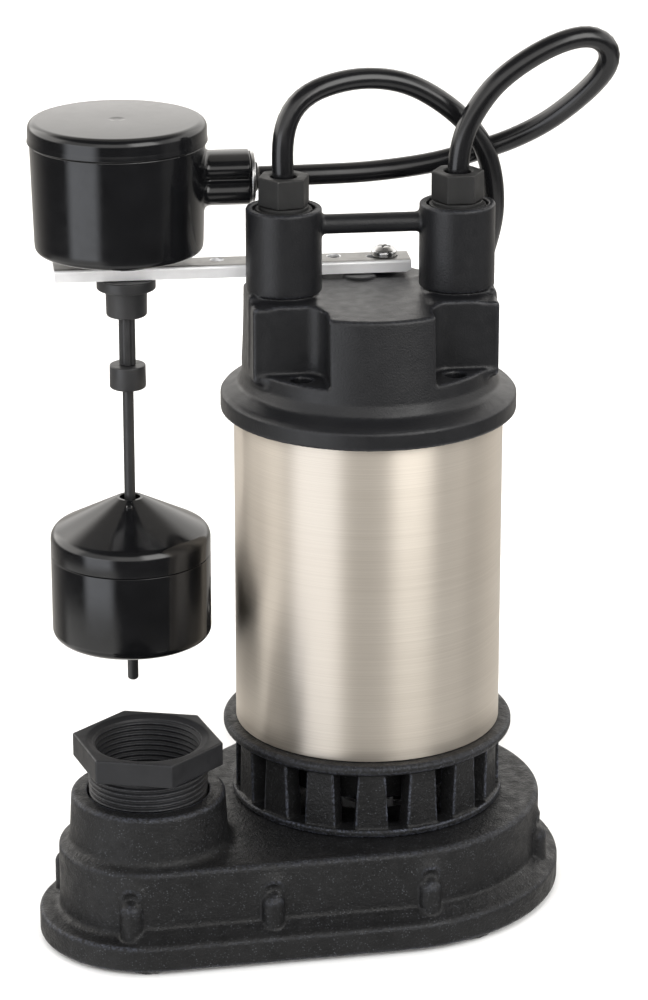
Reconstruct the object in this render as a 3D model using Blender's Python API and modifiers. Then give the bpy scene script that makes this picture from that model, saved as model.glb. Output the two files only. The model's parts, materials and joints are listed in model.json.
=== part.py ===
"""Submersible sump pump with a vertical float switch, built as separate pieces.

Metres, +Z up.  The origin is on the floor, under the middle of the pump without its cords.
The cast base runs along X, with the discharge at -X and the motor at +X.  The top cap, the float
bracket and the float switch are turned by CAP_YAW about the motor axis.  Sizes below are in
millimetres, and every shape function turns them into metres.
"""

import math

import bmesh
import bpy
from mathutils import Matrix, Vector

MM = 0.001
GAP = 0.3  # clearance between pieces that touch

# Sides given to round shapes, by size
FINE, MID, COARSE, TINY = 36, 24, 14, 8

# Where the motor axis stands in the object's frame, and how the top assembly is turned on it
MOTOR_X, MOTOR_Y = 34.0, -8.5
CAP_YAW = math.radians(-24.4)

# Cast base
DISCHARGE_X = -103.0
FOOT_H = 1.2
FLANGE_TOP = 12.0
FLANGE_R_DISCHARGE, FLANGE_R_MOTOR = 44.5, 79.4
WALL_R_DISCHARGE, WALL_R_MOTOR = 36.2, 71.2
CASING_TOP = 40.4
COVER_RIM = 4.8  # flange left around the recessed bottom cover
COVER_LOW, COVER_HIGH = 3.0, 8.6
CAVITY_TOP = 33.0
TONGUE_R, SCROLL_R = 50.0, 63.0
DISCHARGE_BORE_R = 21.5
DISCHARGE_BOSS_R, DISCHARGE_BOSS_TOP = 30.7, 61.6
SCREW_ANGLES_MOTOR = (44.0, 101.0)
SCREW_ANGLE_DISCHARGE = 130.0
SCREW_INSET = 1.9  # screw axes inside the wall's face
SCREW_MID_X = -74.0
SCREW_BOSS_R, SCREW_BOSS_TOP = 5.8, 30.0

# Reducing bushing screwed into the discharge: 1-1/2 in. NPT outside, 1-1/4 in. NPT inside
THREAD_R, THREAD_LOW = 24.1, 44.6
HEX_R, HEX_LOW, HEX_TOP = 30.6, 73.6, 83.5
HEX_PHASE = math.radians(-40.4)
BUSHING_BORE_R, BUSHING_MOUTH_R = 20.3, 22.9

# Intake cage and motor
CAGE_R, CAGE_INNER_R, CAGE_FOOT_R = 54.0, 46.5, 55.4
RIB_COUNT, RIB_W_LOW, RIB_W_TOP = 16, 13.3, 10.8
RIB_PHASE = math.radians(-88.6 - 31.1)
RING_R, RING_LOW, RING_TOP = 59.2, 68.3, 72.8
SPIGOT_R, SPIGOT_H = 52.4, 8.2
SHELL_R, SHELL_WALL = 54.0, 0.8
CAP_LOW = 205.6
STATOR_R, STATOR_BORE_R, STATOR_LOW, STATOR_TOP = 52.8, 27.8, 110.0, 174.0
ROTOR_R, ROTOR_LOW, ROTOR_TOP = 27.0, 112.0, 172.0
WINDING_R_IN, WINDING_R_OUT, WINDING_H = 30.0, 40.8, 19.0
SHAFT_R, SHAFT_TIP_R, SHAFT_LOW, SHAFT_TOP = 6.0, 4.0, 9.5, 217.5
IMPELLER_R, IMPELLER_LOW, VANE_TOP, VANE_COUNT = 44.0, 14.3, 31.0, 5
BOLT_X, BOLT_Y = 31.0, 31.5

# Top cap
CAP_TOP = 254.0
POCKET_FLOOR, POCKET_X, POCKET_Y = 227.0, 20.8, 25.0
TOWER_X, TOWER_Y, TOWER_R, TOWER_TOP = 34.4, -5.0, 15.0, 290.0
HANDLE_R, HANDLE_Z = 3.9, 282.5
GLAND_NUT_R, GLAND_NUT_H, GLAND_WASHER_R = 10.5, 11.4, 11.0

# Float bracket and switch
BRACKET_LEFT, BRACKET_RIGHT, BRACKET_Y, BRACKET_W = -124.0, 19.6, 24.8, 14.0
BRACKET_LOW, BRACKET_TOP, BRACKET_T = 255.3, 260.5, 1.6
BRACKET_SCREW_X = 9.3
SWITCH_X, SWITCH_Y = -94.8, 24.2
SWITCH_R, SWITCH_LOW, SWITCH_TOP = 34.7, 267.0, 311.0
SWITCH_WALL, SWITCH_OFFSET = 2.6, -2.5  # the housing's axis stands beside the rod's
SWITCH_BOSS_R = 12.0
COVER_R, COVER_TOP = 35.5, 320.0
NECK_R, NECK_Z, NECK_END = 11.0, 295.0, 49.7
GUIDE_FLANGE_R, GUIDE_FLANGE_LOW, GUIDE_R, GUIDE_LOW = 11.9, 250.8, 8.25, 239.4

# Float rod and float.  The rod lifts in the switch, the float lifts to the stop collar.
ROD_R, ROD_UPPER_R, ROD_LOW, ROD_TOP = 2.25, 3.4, 82.0, 271.0
COLLAR_R, COLLAR_LOW, COLLAR_TOP = 7.3, 209.0, 218.7
FLOAT_R, FLOAT_LOW, FLOAT_SEAM, FLOAT_TOP = 32.8, 102.0, 138.0, 162.2
LEVER_PIVOT_X, LEVER_Z = -20.0, 273.4
MICROSWITCH_LOW = 277.0

# Cords
CORD_R = 4.25
COIL_MEAN_R, COIL_HALF_W, COIL_LOW, COIL_TOP = 43.0, 13.5, 1.8, 28.5
COIL_SPOT = (118.5, 127.5)
TIE_ANGLE = math.radians(-140)
PLUG_SPOT, PLUG_TURN = (128.0, 162.5, 41.8), math.radians(-31.1)

# Routes in metres in the object's frame, followed as smooth curves
POWER_ROUTE = [
    (0.0006, 0.0012, 0.3025), (0.0002, 0.0018, 0.3130), (0.0030, 0.0020, 0.3260), (0.0115, 0.0005, 0.3345),
    (0.0285, -0.0030, 0.3385), (0.0405, -0.0055, 0.3380), (0.0525, -0.0085, 0.3350), (0.0645, -0.0120, 0.3275),
    (0.0740, -0.0155, 0.3190), (0.0825, -0.0165, 0.3080), (0.0865, -0.0170, 0.2955), (0.0885, -0.0155, 0.2845),
    (0.0895, -0.0135, 0.2760), (0.0895, -0.0060, 0.2580), (0.0900, 0.0060, 0.2360), (0.0950, 0.0180, 0.2140),
    (0.0970, 0.0225, 0.1900), (0.0990, 0.0255, 0.1500), (0.1045, 0.0330, 0.1000), (0.1130, 0.0465, 0.0640),
    (0.1205, 0.0605, 0.0450), (0.1280, 0.0690, 0.0370), (0.1340, 0.0760, 0.0335),
]
SWITCH_ROUTE = [
    (0.0633, -0.0273, 0.3025), (0.0640, -0.0274, 0.3100), (0.0665, -0.0280, 0.3195), (0.0725, -0.0305, 0.3305),
    (0.0785, -0.0330, 0.3380), (0.0885, -0.0365, 0.3455), (0.1010, -0.0410, 0.3520), (0.1130, -0.0445, 0.3540),
    (0.1205, -0.0455, 0.3500), (0.1235, -0.0440, 0.3430), (0.1215, -0.0380, 0.3340), (0.1170, -0.0295, 0.3245),
    (0.1090, -0.0200, 0.3145), (0.0985, -0.0110, 0.3070), (0.0885, -0.0050, 0.3030), (0.0740, 0.0025, 0.2985),
    (0.0595, 0.0090, 0.2962), (0.0445, 0.0150, 0.2951), (0.0290, 0.0210, 0.2950), (0.0065, 0.0303, 0.2950),
]
TAIL_ROUTE = [
    (0.1577, 0.1446, 0.0418), (0.1610, 0.1424, 0.0417), (0.1652, 0.1350, 0.0388), (0.1672, 0.1205, 0.0343),
    (0.1642, 0.1090, 0.0334),
]

SCENE = bpy.context.scene
for old in list(bpy.data.objects):
    bpy.data.objects.remove(old)
PARTS = bpy.data.collections.new("sump_pump")
CUTTERS = bpy.data.collections.new("cutters")
for group in (PARTS, CUTTERS):
    SCENE.collection.children.link(group)


def look(name, colour, roughness, metallic=0.0):
    """A Principled material."""
    made = bpy.data.materials.new(name)
    made.use_nodes = True
    shader = made.node_tree.nodes["Principled BSDF"]
    shader.inputs["Base Color"].default_value = (*colour, 1.0)
    shader.inputs["Roughness"].default_value = roughness
    shader.inputs["Metallic"].default_value = metallic
    return made


CAST = look("cast_iron_black", (0.018, 0.018, 0.019), 0.5, 0.2)
CAP_BLACK = look("cap_black", (0.022, 0.023, 0.026), 0.42)
BUSHING_GREY = look("bushing_plastic", (0.03, 0.03, 0.03), 0.6)
GLOSS_BLACK = look("switch_plastic", (0.008, 0.008, 0.009), 0.15)
RUBBER = look("rubber", (0.012, 0.012, 0.012), 0.55)
CORD_BLACK = look("cord_pvc", (0.010, 0.010, 0.011), 0.25)
STAINLESS = look("stainless", (0.66, 0.63, 0.58), 0.28, 1.0)
STEEL = look("steel", (0.55, 0.55, 0.55), 0.35, 1.0)
ZINC = look("zinc_plate", (0.72, 0.72, 0.72), 0.3, 1.0)
LAMINATION = look("lamination_steel", (0.35, 0.35, 0.37), 0.5, 1.0)
COPPER = look("copper_winding", (0.72, 0.33, 0.14), 0.4, 1.0)
CERAMIC = look("seal_ceramic", (0.8, 0.8, 0.76), 0.3)
GREY_PLASTIC = look("grey_plastic", (0.3, 0.3, 0.3), 0.5)
BRASS = look("brass", (0.75, 0.55, 0.22), 0.3, 1.0)


def frame(name, spot, turn=0.0, parent=None):
    """An empty that carries the pieces of one assembly or one moving body."""
    empty = bpy.data.objects.new(name, None)
    empty.location = Vector(spot) * MM
    empty.rotation_euler.z = turn
    empty.parent = parent
    PARTS.objects.link(empty)
    return empty


BASE = frame("motor_axis", (MOTOR_X, MOTOR_Y, 0))
TOP = frame("top_axis", (0, 0, 0), CAP_YAW, BASE)
ROTOR = frame("rotor_axis", (0, 0, 0), 0, BASE)
SWITCH = frame("switch_axis", (SWITCH_X, SWITCH_Y, 0), 0, TOP)
HOUSING = frame("housing_axis", (SWITCH_OFFSET, 0, 0), 0, SWITCH)
ROD = frame("rod_axis", (0, 0, 0), 0, SWITCH)
FLOAT = frame("float_axis", (0, 0, 0), 0, ROD)
LEVER = frame("lever_axis", (LEVER_PIVOT_X, 0, LEVER_Z), 0, SWITCH)


def add(name, data, parent, material=None):
    """Links a piece, or a hidden cutter where no material is given."""
    obj = bpy.data.objects.new(name, data)
    obj.parent = parent
    (PARTS if material else CUTTERS).objects.link(obj)
    if material:
        data.materials.append(material)
    else:
        obj.hide_render = True
        obj.display_type = "WIRE"
    return obj


def turned(name, profile, parent, material=None, steps=MID):
    """A solid of revolution from (radius, height) points that run down its outer side."""
    points = [(radius * MM, 0.0, height * MM) for radius, height in profile]
    edges = [(i, i + 1) for i in range(len(points) - 1)]
    if profile[0][0] > 0:
        edges.append((len(points) - 1, 0))
    data = bpy.data.meshes.new(name)
    data.from_pydata(points, edges, [])
    obj = add(name, data, parent, material)
    turn = obj.modifiers.new("Turn", "SCREW")
    turn.steps = turn.render_steps = steps
    turn.use_merge_vertices = True
    turn.merge_threshold = 0.00001
    return obj


def ring(name, inner, outer, low, high, parent, material=None, steps=MID):
    """A plain ring of square section."""
    return turned(name, [(outer, high), (outer, low), (inner, low), (inner, high)], parent, material, steps)


def shape_of(name, build, parent, material=None):
    """An object from a function that fills a bmesh with primitives."""
    shape = bmesh.new()
    build(shape)
    data = bpy.data.meshes.new(name)
    shape.to_mesh(data)
    shape.free()
    return add(name, data, parent, material)


def rods(name, spots, radius, low, high, parent, material=None, steps=COARSE, phase=0.0, top_radius=None):
    """Upright cylinders or cones, one at each (x, y)."""
    def build(shape):
        for x, y in spots:
            bmesh.ops.create_cone(
                shape, cap_ends=True, segments=steps, radius1=radius * MM,
                radius2=(top_radius or radius) * MM, depth=(high - low) * MM,
                matrix=Matrix.Translation(Vector((x, y, (low + high) / 2)) * MM) @ Matrix.Rotation(phase, 4, "Z"))
    return shape_of(name, build, parent, material)


def bar(name, start, end, radius, parent, material=None, steps=COARSE):
    """A round bar between two points."""
    start, end = Vector(start) * MM, Vector(end) * MM
    turn = (end - start).to_track_quat("Z", "Y").to_matrix().to_4x4()

    def build(shape):
        bmesh.ops.create_cone(
            shape, cap_ends=True, segments=steps, radius1=radius * MM, radius2=radius * MM,
            depth=(end - start).length, matrix=Matrix.Translation((start + end) / 2) @ turn)
    return shape_of(name, build, parent, material)


def blocks(name, boxes, parent, material=None):
    """Boxes given by their low and high corners."""
    def build(shape):
        for low, high in boxes:
            low, high = Vector(low) * MM, Vector(high) * MM
            bmesh.ops.create_cube(
                shape, size=1.0,
                matrix=Matrix.Translation((low + high) / 2) @ Matrix.Diagonal((*(high - low), 1.0)))
    return shape_of(name, build, parent, material)


def hull_slab(name, circles, low, high, parent, material=None, steps=32):
    """The slab stretched around circles of (x, y, radius), between two heights."""
    def build(shape):
        for x, y, radius in circles:
            for height in (low, high):
                bmesh.ops.create_circle(
                    shape, segments=steps, radius=radius * MM,
                    matrix=Matrix.Translation(Vector((x, y, height)) * MM))
        made = bmesh.ops.convex_hull(shape, input=shape.verts)
        inner = {v for v in made["geom_interior"] + made["geom_unused"] if isinstance(v, bmesh.types.BMVert)}
        bmesh.ops.delete(shape, geom=list(inner), context="VERTS")
        bmesh.ops.dissolve_limit(shape, angle_limit=0.01, verts=shape.verts, edges=shape.edges)
    return shape_of(name, build, parent, material)


def outline_slab(name, points, low, high, parent):
    """A cutter from a flat outline, extruded between two heights."""
    curve = bpy.data.curves.new(name, "CURVE")
    curve.dimensions = "2D"
    curve.fill_mode = "BOTH"
    curve.extrude = (high - low) / 2 * MM
    spline = curve.splines.new("POLY")
    spline.points.add(len(points) - 1)
    for point, (x, y) in zip(spline.points, points):
        point.co = (x * MM, y * MM, 0, 1)
    spline.use_cyclic_u = True
    guide = bpy.data.objects.new(name + "_outline", curve)
    CUTTERS.objects.link(guide)
    bpy.context.view_layer.update()
    data = bpy.data.meshes.new_from_object(guide.evaluated_get(bpy.context.evaluated_depsgraph_get()))
    bpy.data.objects.remove(guide)
    shape = bmesh.new()
    shape.from_mesh(data)
    bmesh.ops.remove_doubles(shape, verts=shape.verts, dist=0.00001)
    bmesh.ops.recalc_face_normals(shape, faces=shape.faces)
    shape.to_mesh(data)
    shape.free()
    data.transform(Matrix.Translation((0, 0, (low + high) / 2 * MM)))
    return add(name, data, parent)


def boolean(obj, tool, operation="DIFFERENCE"):
    step = obj.modifiers.new(tool.name, "BOOLEAN")
    step.object = tool
    step.operation = operation
    return obj


def cut(obj, *tools):
    for tool in tools:
        boolean(obj, tool)
    return obj


def join(obj, *tools):
    for tool in tools:
        boolean(obj, tool, "UNION")
    return obj


def rounded(obj, width, segments=2):
    edge = obj.modifiers.new("Edge", "BEVEL")
    edge.width = width * MM
    edge.segments = segments
    edge.limit_method = "ANGLE"
    edge.angle_limit = math.radians(40)
    return obj


def polar(radius, degrees):
    return radius * math.cos(math.radians(degrees)), radius * math.sin(math.radians(degrees))


def arc(radius, start, end, count, centre=(0.0, 0.0)):
    """Points along an arc, in degrees."""
    turns = [start + (end - start) * i / (count - 1) for i in range(count)]
    return [(centre[0] + x, centre[1] + y) for x, y in (polar(radius, turn) for turn in turns)]


def base_outline(inset, wall=False):
    """The two circles that the base's outline is stretched around."""
    at_discharge = WALL_R_DISCHARGE if wall else FLANGE_R_DISCHARGE
    at_motor = WALL_R_MOTOR if wall else FLANGE_R_MOTOR
    return [(DISCHARGE_X, 0, at_discharge - inset), (0, 0, at_motor - inset)]


def wall_half_width(x):
    """Half the width of the base's wall at a place along its straight side."""
    lean = math.asin((WALL_R_MOTOR - WALL_R_DISCHARGE) / -DISCHARGE_X)
    return (WALL_R_MOTOR + x * math.sin(lean)) / math.cos(lean)


def cover_screw_spots():
    """The eight bottom-cover screws, mirrored about the base's length."""
    spots = [polar(WALL_R_MOTOR - SCREW_INSET, angle) for angle in SCREW_ANGLES_MOTOR]
    spots.append((SCREW_MID_X, wall_half_width(SCREW_MID_X) - SCREW_INSET))
    x, y = polar(WALL_R_DISCHARGE - SCREW_INSET, SCREW_ANGLE_DISCHARGE)
    spots.append((DISCHARGE_X + x, y))
    return spots + [(x, -y) for x, y in spots]


def scroll_outline():
    """The spiral that opens towards the discharge, with its tongue at the narrow start."""
    start, end, count = 160.0, 450.0, 34
    spiral = []
    for i in range(count):
        share = i / (count - 1)
        spiral.append(polar(TONGUE_R + (SCROLL_R - TONGUE_R) * share, start + (end - start) * share))
    return spiral + arc(DISCHARGE_BORE_R, 90, 270, 14, (DISCHARGE_X, 0))


def make_casing():
    casing = rounded(hull_slab("volute_casing", base_outline(0), FOOT_H, FLANGE_TOP, BASE, CAST), 1.4, 1)
    wall = rounded(hull_slab("casing_wall", base_outline(0, wall=True), 9, CASING_TOP, BASE), 1.6, 1)
    boss = rounded(rods("discharge_boss", [(DISCHARGE_X, 0)], DISCHARGE_BOSS_R + 1.4, 36, DISCHARGE_BOSS_TOP,
                        BASE, steps=MID, top_radius=DISCHARGE_BOSS_R), 0.8, 1)
    join(casing, wall, boss)
    for i, (x, y) in enumerate(cover_screw_spots()):
        profile = [(0, SCREW_BOSS_TOP), (3.2, SCREW_BOSS_TOP - 0.6), (SCREW_BOSS_R, SCREW_BOSS_TOP - 4),
                   (SCREW_BOSS_R + 0.4, 10), (0, 10)]
        lump = turned(f"screw_boss_{i + 1}", profile, BASE, steps=TINY)
        lump.location = Vector((x, y, 0)) * MM
        join(casing, lump)
    feet = [polar(67.6, angle) for angle in (-85, 0, 85)] + [(DISCHARGE_X + x, y) for x, y in
                                                            (polar(32.5, 120), polar(32.5, -120))]
    for i, (x, y) in enumerate(feet):
        join(casing, rods(f"foot_{i + 1}", [(x, y)], 10.4, 0, FOOT_H + 1.8, BASE))
    recess = hull_slab("cover_recess", base_outline(COVER_RIM), -1, COVER_HIGH + GAP, BASE)
    scroll = outline_slab("scroll_cavity", scroll_outline(), COVER_HIGH - 0.5, CAVITY_TOP, BASE)
    bore = rods("discharge_bore", [(DISCHARGE_X, 0)], DISCHARGE_BORE_R - 0.4, 30, 70, BASE, steps=MID)
    socket = rods("bushing_socket", [(DISCHARGE_X, 0)], THREAD_R + GAP, THREAD_LOW - 0.9, 70, BASE, steps=MID)
    eye = rods("suction_eye", [(0, 0)], 25.0, CAVITY_TOP - 2, CASING_TOP + 2, BASE, steps=MID)
    holes = rods("casing_screw_holes", cover_screw_spots(), 2.7, COVER_HIGH - 2, 25, BASE, steps=TINY)
    return cut(casing, recess, scroll, bore, socket, eye, holes)


def make_cover():
    cover = hull_slab("bottom_cover", base_outline(COVER_RIM + GAP), COVER_LOW, COVER_HIGH, BASE, CAST)
    heads = rods("cover_counterbores", cover_screw_spots(), 4.3, 0, COVER_LOW + 3.2, BASE, steps=TINY)
    holes = rods("cover_holes", cover_screw_spots(), 2.7, 0, 12, BASE, steps=TINY)
    cut(cover, heads, holes)
    for i, (x, y) in enumerate(cover_screw_spots()):
        profile = [(0, 22), (2.4, 22), (2.4, COVER_LOW + 2.9), (3.8, COVER_LOW + 2.9), (3.8, COVER_LOW + 0.5),
                   (0, COVER_LOW + 0.5)]
        screw = turned(f"bottom_cover_screw_{i + 1}", profile, BASE, STEEL, TINY)
        screw.location = Vector((x, y, 0)) * MM


def make_bushing():
    profile = [(0, HEX_LOW + 2), (THREAD_R, HEX_LOW + 2), (THREAD_R, DISCHARGE_BOSS_TOP),
               (THREAD_R - 0.5, THREAD_LOW), (0, THREAD_LOW)]
    bushing = turned("discharge_bushing", profile, BASE, BUSHING_GREY)
    bushing.location.x = DISCHARGE_X * MM
    hexagon = rounded(rods("bushing_hex", [(DISCHARGE_X, 0)], HEX_R, HEX_LOW, HEX_TOP, BASE, steps=6,
                           phase=HEX_PHASE), 0.6, 1)
    bore_profile = [(0, HEX_TOP + 1), (BUSHING_MOUTH_R + 0.9, HEX_TOP + 1), (BUSHING_BORE_R, HEX_TOP - 2),
                    (BUSHING_BORE_R - 0.9, THREAD_LOW - 1), (0, THREAD_LOW - 1)]
    bore = turned("bushing_bore", bore_profile, BASE)
    bore.location.x = DISCHARGE_X * MM
    join(bushing, hexagon)
    cut(bushing, bore)


def make_cage():
    spigot_top = RING_TOP + SPIGOT_H
    profile = [
        (SPIGOT_R, spigot_top), (SPIGOT_R, 79.2), (50, 79.2), (50, 75.4), (SPIGOT_R, 75.4),
        (SPIGOT_R, RING_TOP), (RING_R, RING_TOP), (RING_R, RING_LOW), (40, RING_LOW), (38, 50),
        (13.2, 50), (13.2, 58), (8, 58), (8, 62), (17.8, 62), (17.8, 74), (47.5, 74), (47.5, spigot_top),
    ]
    cage = turned("intake_cage", profile, BASE, CAST, 32)
    ribs = ring("cage_ribs", CAGE_INNER_R, CAGE_R, CASING_TOP + GAP, RING_LOW + 1, BASE, steps=32)
    pitch = 2 * math.pi / RIB_COUNT
    around = math.tau * CAGE_R / RIB_COUNT

    def slots(shape):
        for i in range(RIB_COUNT):
            made = bmesh.ops.create_cube(shape, size=1.0)["verts"]
            for vert in made:
                high = vert.co.z > 0
                width = around - (RIB_W_TOP if high else RIB_W_LOW)
                vert.co = Vector((50 + vert.co.x * 20, vert.co.y * width,
                                  RING_LOW + 5 if high else CASING_TOP + 3)) * MM
            bmesh.ops.rotate(shape, verts=made, matrix=Matrix.Rotation(RIB_PHASE + (i + 0.5) * pitch, 3, "Z"))

    cut(ribs, shape_of("cage_slots", slots, BASE))
    foot = ring("cage_foot", CAGE_INNER_R + 0.5, CAGE_FOOT_R, CASING_TOP + GAP, CASING_TOP + 3, BASE, steps=32)
    join(cage, ribs, foot)
    bolt_holes = rods("cage_bolt_holes", bolt_spots(), 2.7, 69.2, 90, TOP, steps=TINY)
    return cut(cage, bolt_holes)


def bolt_spots():
    return [(x, y) for x in (-BOLT_X, BOLT_X) for y in (-BOLT_Y, BOLT_Y)]


def make_motor():
    ring("motor_shell", SHELL_R - SHELL_WALL, SHELL_R, RING_TOP + GAP, CAP_LOW - GAP, BASE, STAINLESS, 48)
    ring("lower_shell_seal", 50.4, 52.7, 75.7, 78.9, BASE, RUBBER, 32)
    ring("upper_shell_seal", 50.3, 52.8, 199.7, 202.9, TOP, RUBBER, FINE)
    stator = ring("stator_core", STATOR_BORE_R, STATOR_R, STATOR_LOW, STATOR_TOP, BASE, LAMINATION, 32)
    cut(stator, rods("stator_bolt_holes", bolt_spots(), 2.9, 100, 184, TOP, steps=TINY))
    for name, low in (("winding_lower", STATOR_LOW - GAP - WINDING_H), ("winding_upper", STATOR_TOP + GAP)):
        winding = ring(name, WINDING_R_IN, WINDING_R_OUT, low, low + WINDING_H, BASE, COPPER, 20)
        rounded(winding, 4, 1)
    ring("lower_bearing", SHAFT_R + GAP, 17.5, 62.3, 73.7, BASE, STEEL, 20)
    ring("upper_bearing", SHAFT_R + GAP, 15.5, 207, 216, BASE, STEEL, 20)
    ring("seal_stationary", 8.6, 12.9, 51, 57.7, BASE, CERAMIC, 20)
    for i, (x, y) in enumerate(bolt_spots()):
        bolt = turned(f"through_bolt_{i + 1}", [(0, 217), (4.2, 217), (4.2, 212.3), (2.4, 212.3), (2.4, 69.8),
                                                 (0, 69.8)], TOP, STEEL, TINY)
        bolt.location = Vector((x, y, 0)) * MM


def make_rotor():
    shaft = [(0, SHAFT_TOP), (SHAFT_R, SHAFT_TOP), (SHAFT_R, IMPELLER_LOW), (SHAFT_TIP_R, IMPELLER_LOW),
             (SHAFT_TIP_R, SHAFT_LOW), (0, SHAFT_LOW)]
    turned("shaft", shaft, ROTOR, STAINLESS, COARSE)
    ring("rotor_core", SHAFT_R + GAP, ROTOR_R, ROTOR_LOW, ROTOR_TOP, ROTOR, LAMINATION)
    ring("seal_rotary", SHAFT_R + GAP, 12.0, 38, 50.4, ROTOR, RUBBER, 20)
    hub = SHAFT_R + GAP
    impeller = turned("impeller", [(11, 36), (11, IMPELLER_LOW + 3), (IMPELLER_R, IMPELLER_LOW + 3),
                                   (IMPELLER_R, IMPELLER_LOW), (hub, IMPELLER_LOW), (hub, 36)],
                      ROTOR, GREY_PLASTIC, 24)
    for i in range(VANE_COUNT):
        outer, inner = [], []
        for k in range(6):
            share = k / 5
            radius, angle = 9 + 34 * share, 360 * i / VANE_COUNT - 70 * share
            outer.append(polar(radius, angle))
            inner.append(polar(radius, angle - 110 / radius))
        vane = outline_slab(f"vane_{i + 1}", outer + inner[::-1], IMPELLER_LOW + 2, VANE_TOP, ROTOR)
        join(impeller, vane)
    cut(impeller, rods("impeller_bore", [(0, 0)], hub, 0, 60, ROTOR))
    nut = rods("impeller_nut", [(0, 0)], 7.6, 10.1, 13.9, ROTOR, BRASS, steps=6)
    cut(nut, rods("nut_bore", [(0, 0)], SHAFT_TIP_R + GAP, 0, 20, ROTOR, steps=12))


def cap_profile():
    """The cap's outline from the middle of its top down to its spigot in the shell, and back inside."""
    return [
        (0, CAP_TOP), (44.9, CAP_TOP), (46.2, 253.4), (46.9, 251.8), (50.6, 221), (52.2, 216.8), (55, 214.6),
        (58.4, 213.3), (59.3, 212.2), (59.3, CAP_LOW), (SPIGOT_R, CAP_LOW), (SPIGOT_R, 203.2), (50, 203.2),
        (50, 199.4), (SPIGOT_R, 199.4), (SPIGOT_R, 196), (47.5, 196), (47.5, 205), (0, 205),
    ]


def make_cap():
    cap = turned("top_cap", cap_profile(), TOP, CAP_BLACK, FINE)
    for i, (x0, x1) in enumerate([(-49.2, -30), (30, 49.2)]):
        join(cap, rounded(blocks(f"tower_root_{i + 1}", [((x0, -15, 226), (x1, 5, 257.2))], TOP), 2.5))
        join(cap, rounded(blocks(f"tower_base_{i + 1}", [((x0, -POCKET_Y, 214), (x1, 15, CAP_TOP))], TOP), 1.5, 1))
    towers = [(-TOWER_X, TOWER_Y), (TOWER_X, TOWER_Y)]
    for i, (x, y) in enumerate(towers):
        profile = [(0, TOWER_TOP), (14.2, TOWER_TOP), (TOWER_R, TOWER_TOP - 0.8), (TOWER_R, 257.6), (14.4, 256.6),
                   (13.4, 256.2), (13.4, 250), (0, 250)]
        tower = turned(f"tower_{i + 1}", profile, TOP, steps=24)
        tower.location = Vector((x, y, 0)) * MM
        join(cap, tower)
    join(cap, bar("handle", (-TOWER_X, TOWER_Y, HANDLE_Z), (TOWER_X, TOWER_Y, HANDLE_Z), HANDLE_R, TOP, steps=12))
    join(cap, rods("gate_boss", [(-1.4, 18)], 6.6, CAP_TOP - 2, CAP_TOP + 1, TOP),
         rods("bracket_boss", [(BRACKET_SCREW_X, BRACKET_Y)], 4.9, CAP_TOP - 3, BRACKET_TOP - BRACKET_T - GAP,
              TOP))
    for x0, x1 in ((-70, -POCKET_X), (POCKET_X, 70)):
        for y0, y1 in ((-70, -POCKET_Y), (POCKET_Y, 70)):
            cut(cap, blocks("pocket", [((x0, y0, POCKET_FLOOR), (x1, y1, 270))], TOP))
    cut(cap,
        rods("bolt_counterbores", bolt_spots(), 5.0, 212, POCKET_FLOOR + 2, TOP),
        rods("cap_bolt_holes", bolt_spots(), 2.9, 190, 214, TOP, steps=TINY),
        rods("bearing_seat", [(0, 0)], 15.8, 200, 218.3, TOP, steps=20),
        rods("capacitor_room", [(0, 0)], 23.0, 222, 249.5, TOP, steps=20),
        rods("wire_holes", [(-19.2, 0), (19.2, 0)], 3.5, 200, 226, TOP, steps=TINY),
        bar("cable_channel", (-TOWER_X - 2, TOWER_Y, 241), (TOWER_X + 2, TOWER_Y, 241), 5.4, TOP, steps=12),
        rods("cable_bores", towers, 5.4, 238, 300, TOP, steps=12),
        rods("tower_recesses", towers, 12.4, TOWER_TOP - 2.5, 300, TOP, steps=24),
        rods("screw_bore", [(BRACKET_SCREW_X, BRACKET_Y)], 2.3, 244, 262, TOP, steps=TINY))
    turned("capacitor", [(0, 246), (12.5, 246), (12.5, 223), (0, 223)], TOP, GREY_PLASTIC, COARSE)
    for name, (x, y) in zip(("power", "switch"), towers):
        low = TOWER_TOP - 2.5 + GAP
        washer = turned(f"gland_washer_{name}", [(CORD_R + GAP + 0.6, low + 3.2), (9.8, low + 3.2),
                                                 (GLAND_WASHER_R, low + 2.2), (GLAND_WASHER_R, low),
                                                 (CORD_R + GAP + 0.6, low)], TOP, BUSHING_GREY, 24)
        washer.location = Vector((x, y, 0)) * MM
        nut_low = low + 3.2 + GAP
        nut = rounded(rods(f"gland_nut_{name}", [(x, y)], GLAND_NUT_R, nut_low, nut_low + GLAND_NUT_H, TOP,
                           BUSHING_GREY, steps=6, phase=math.radians(12)), 0.5, 1)
        cut(nut, rods(f"nut_bore_{name}", [(x, y)], CORD_R + GAP, 280, 320, TOP))


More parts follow.
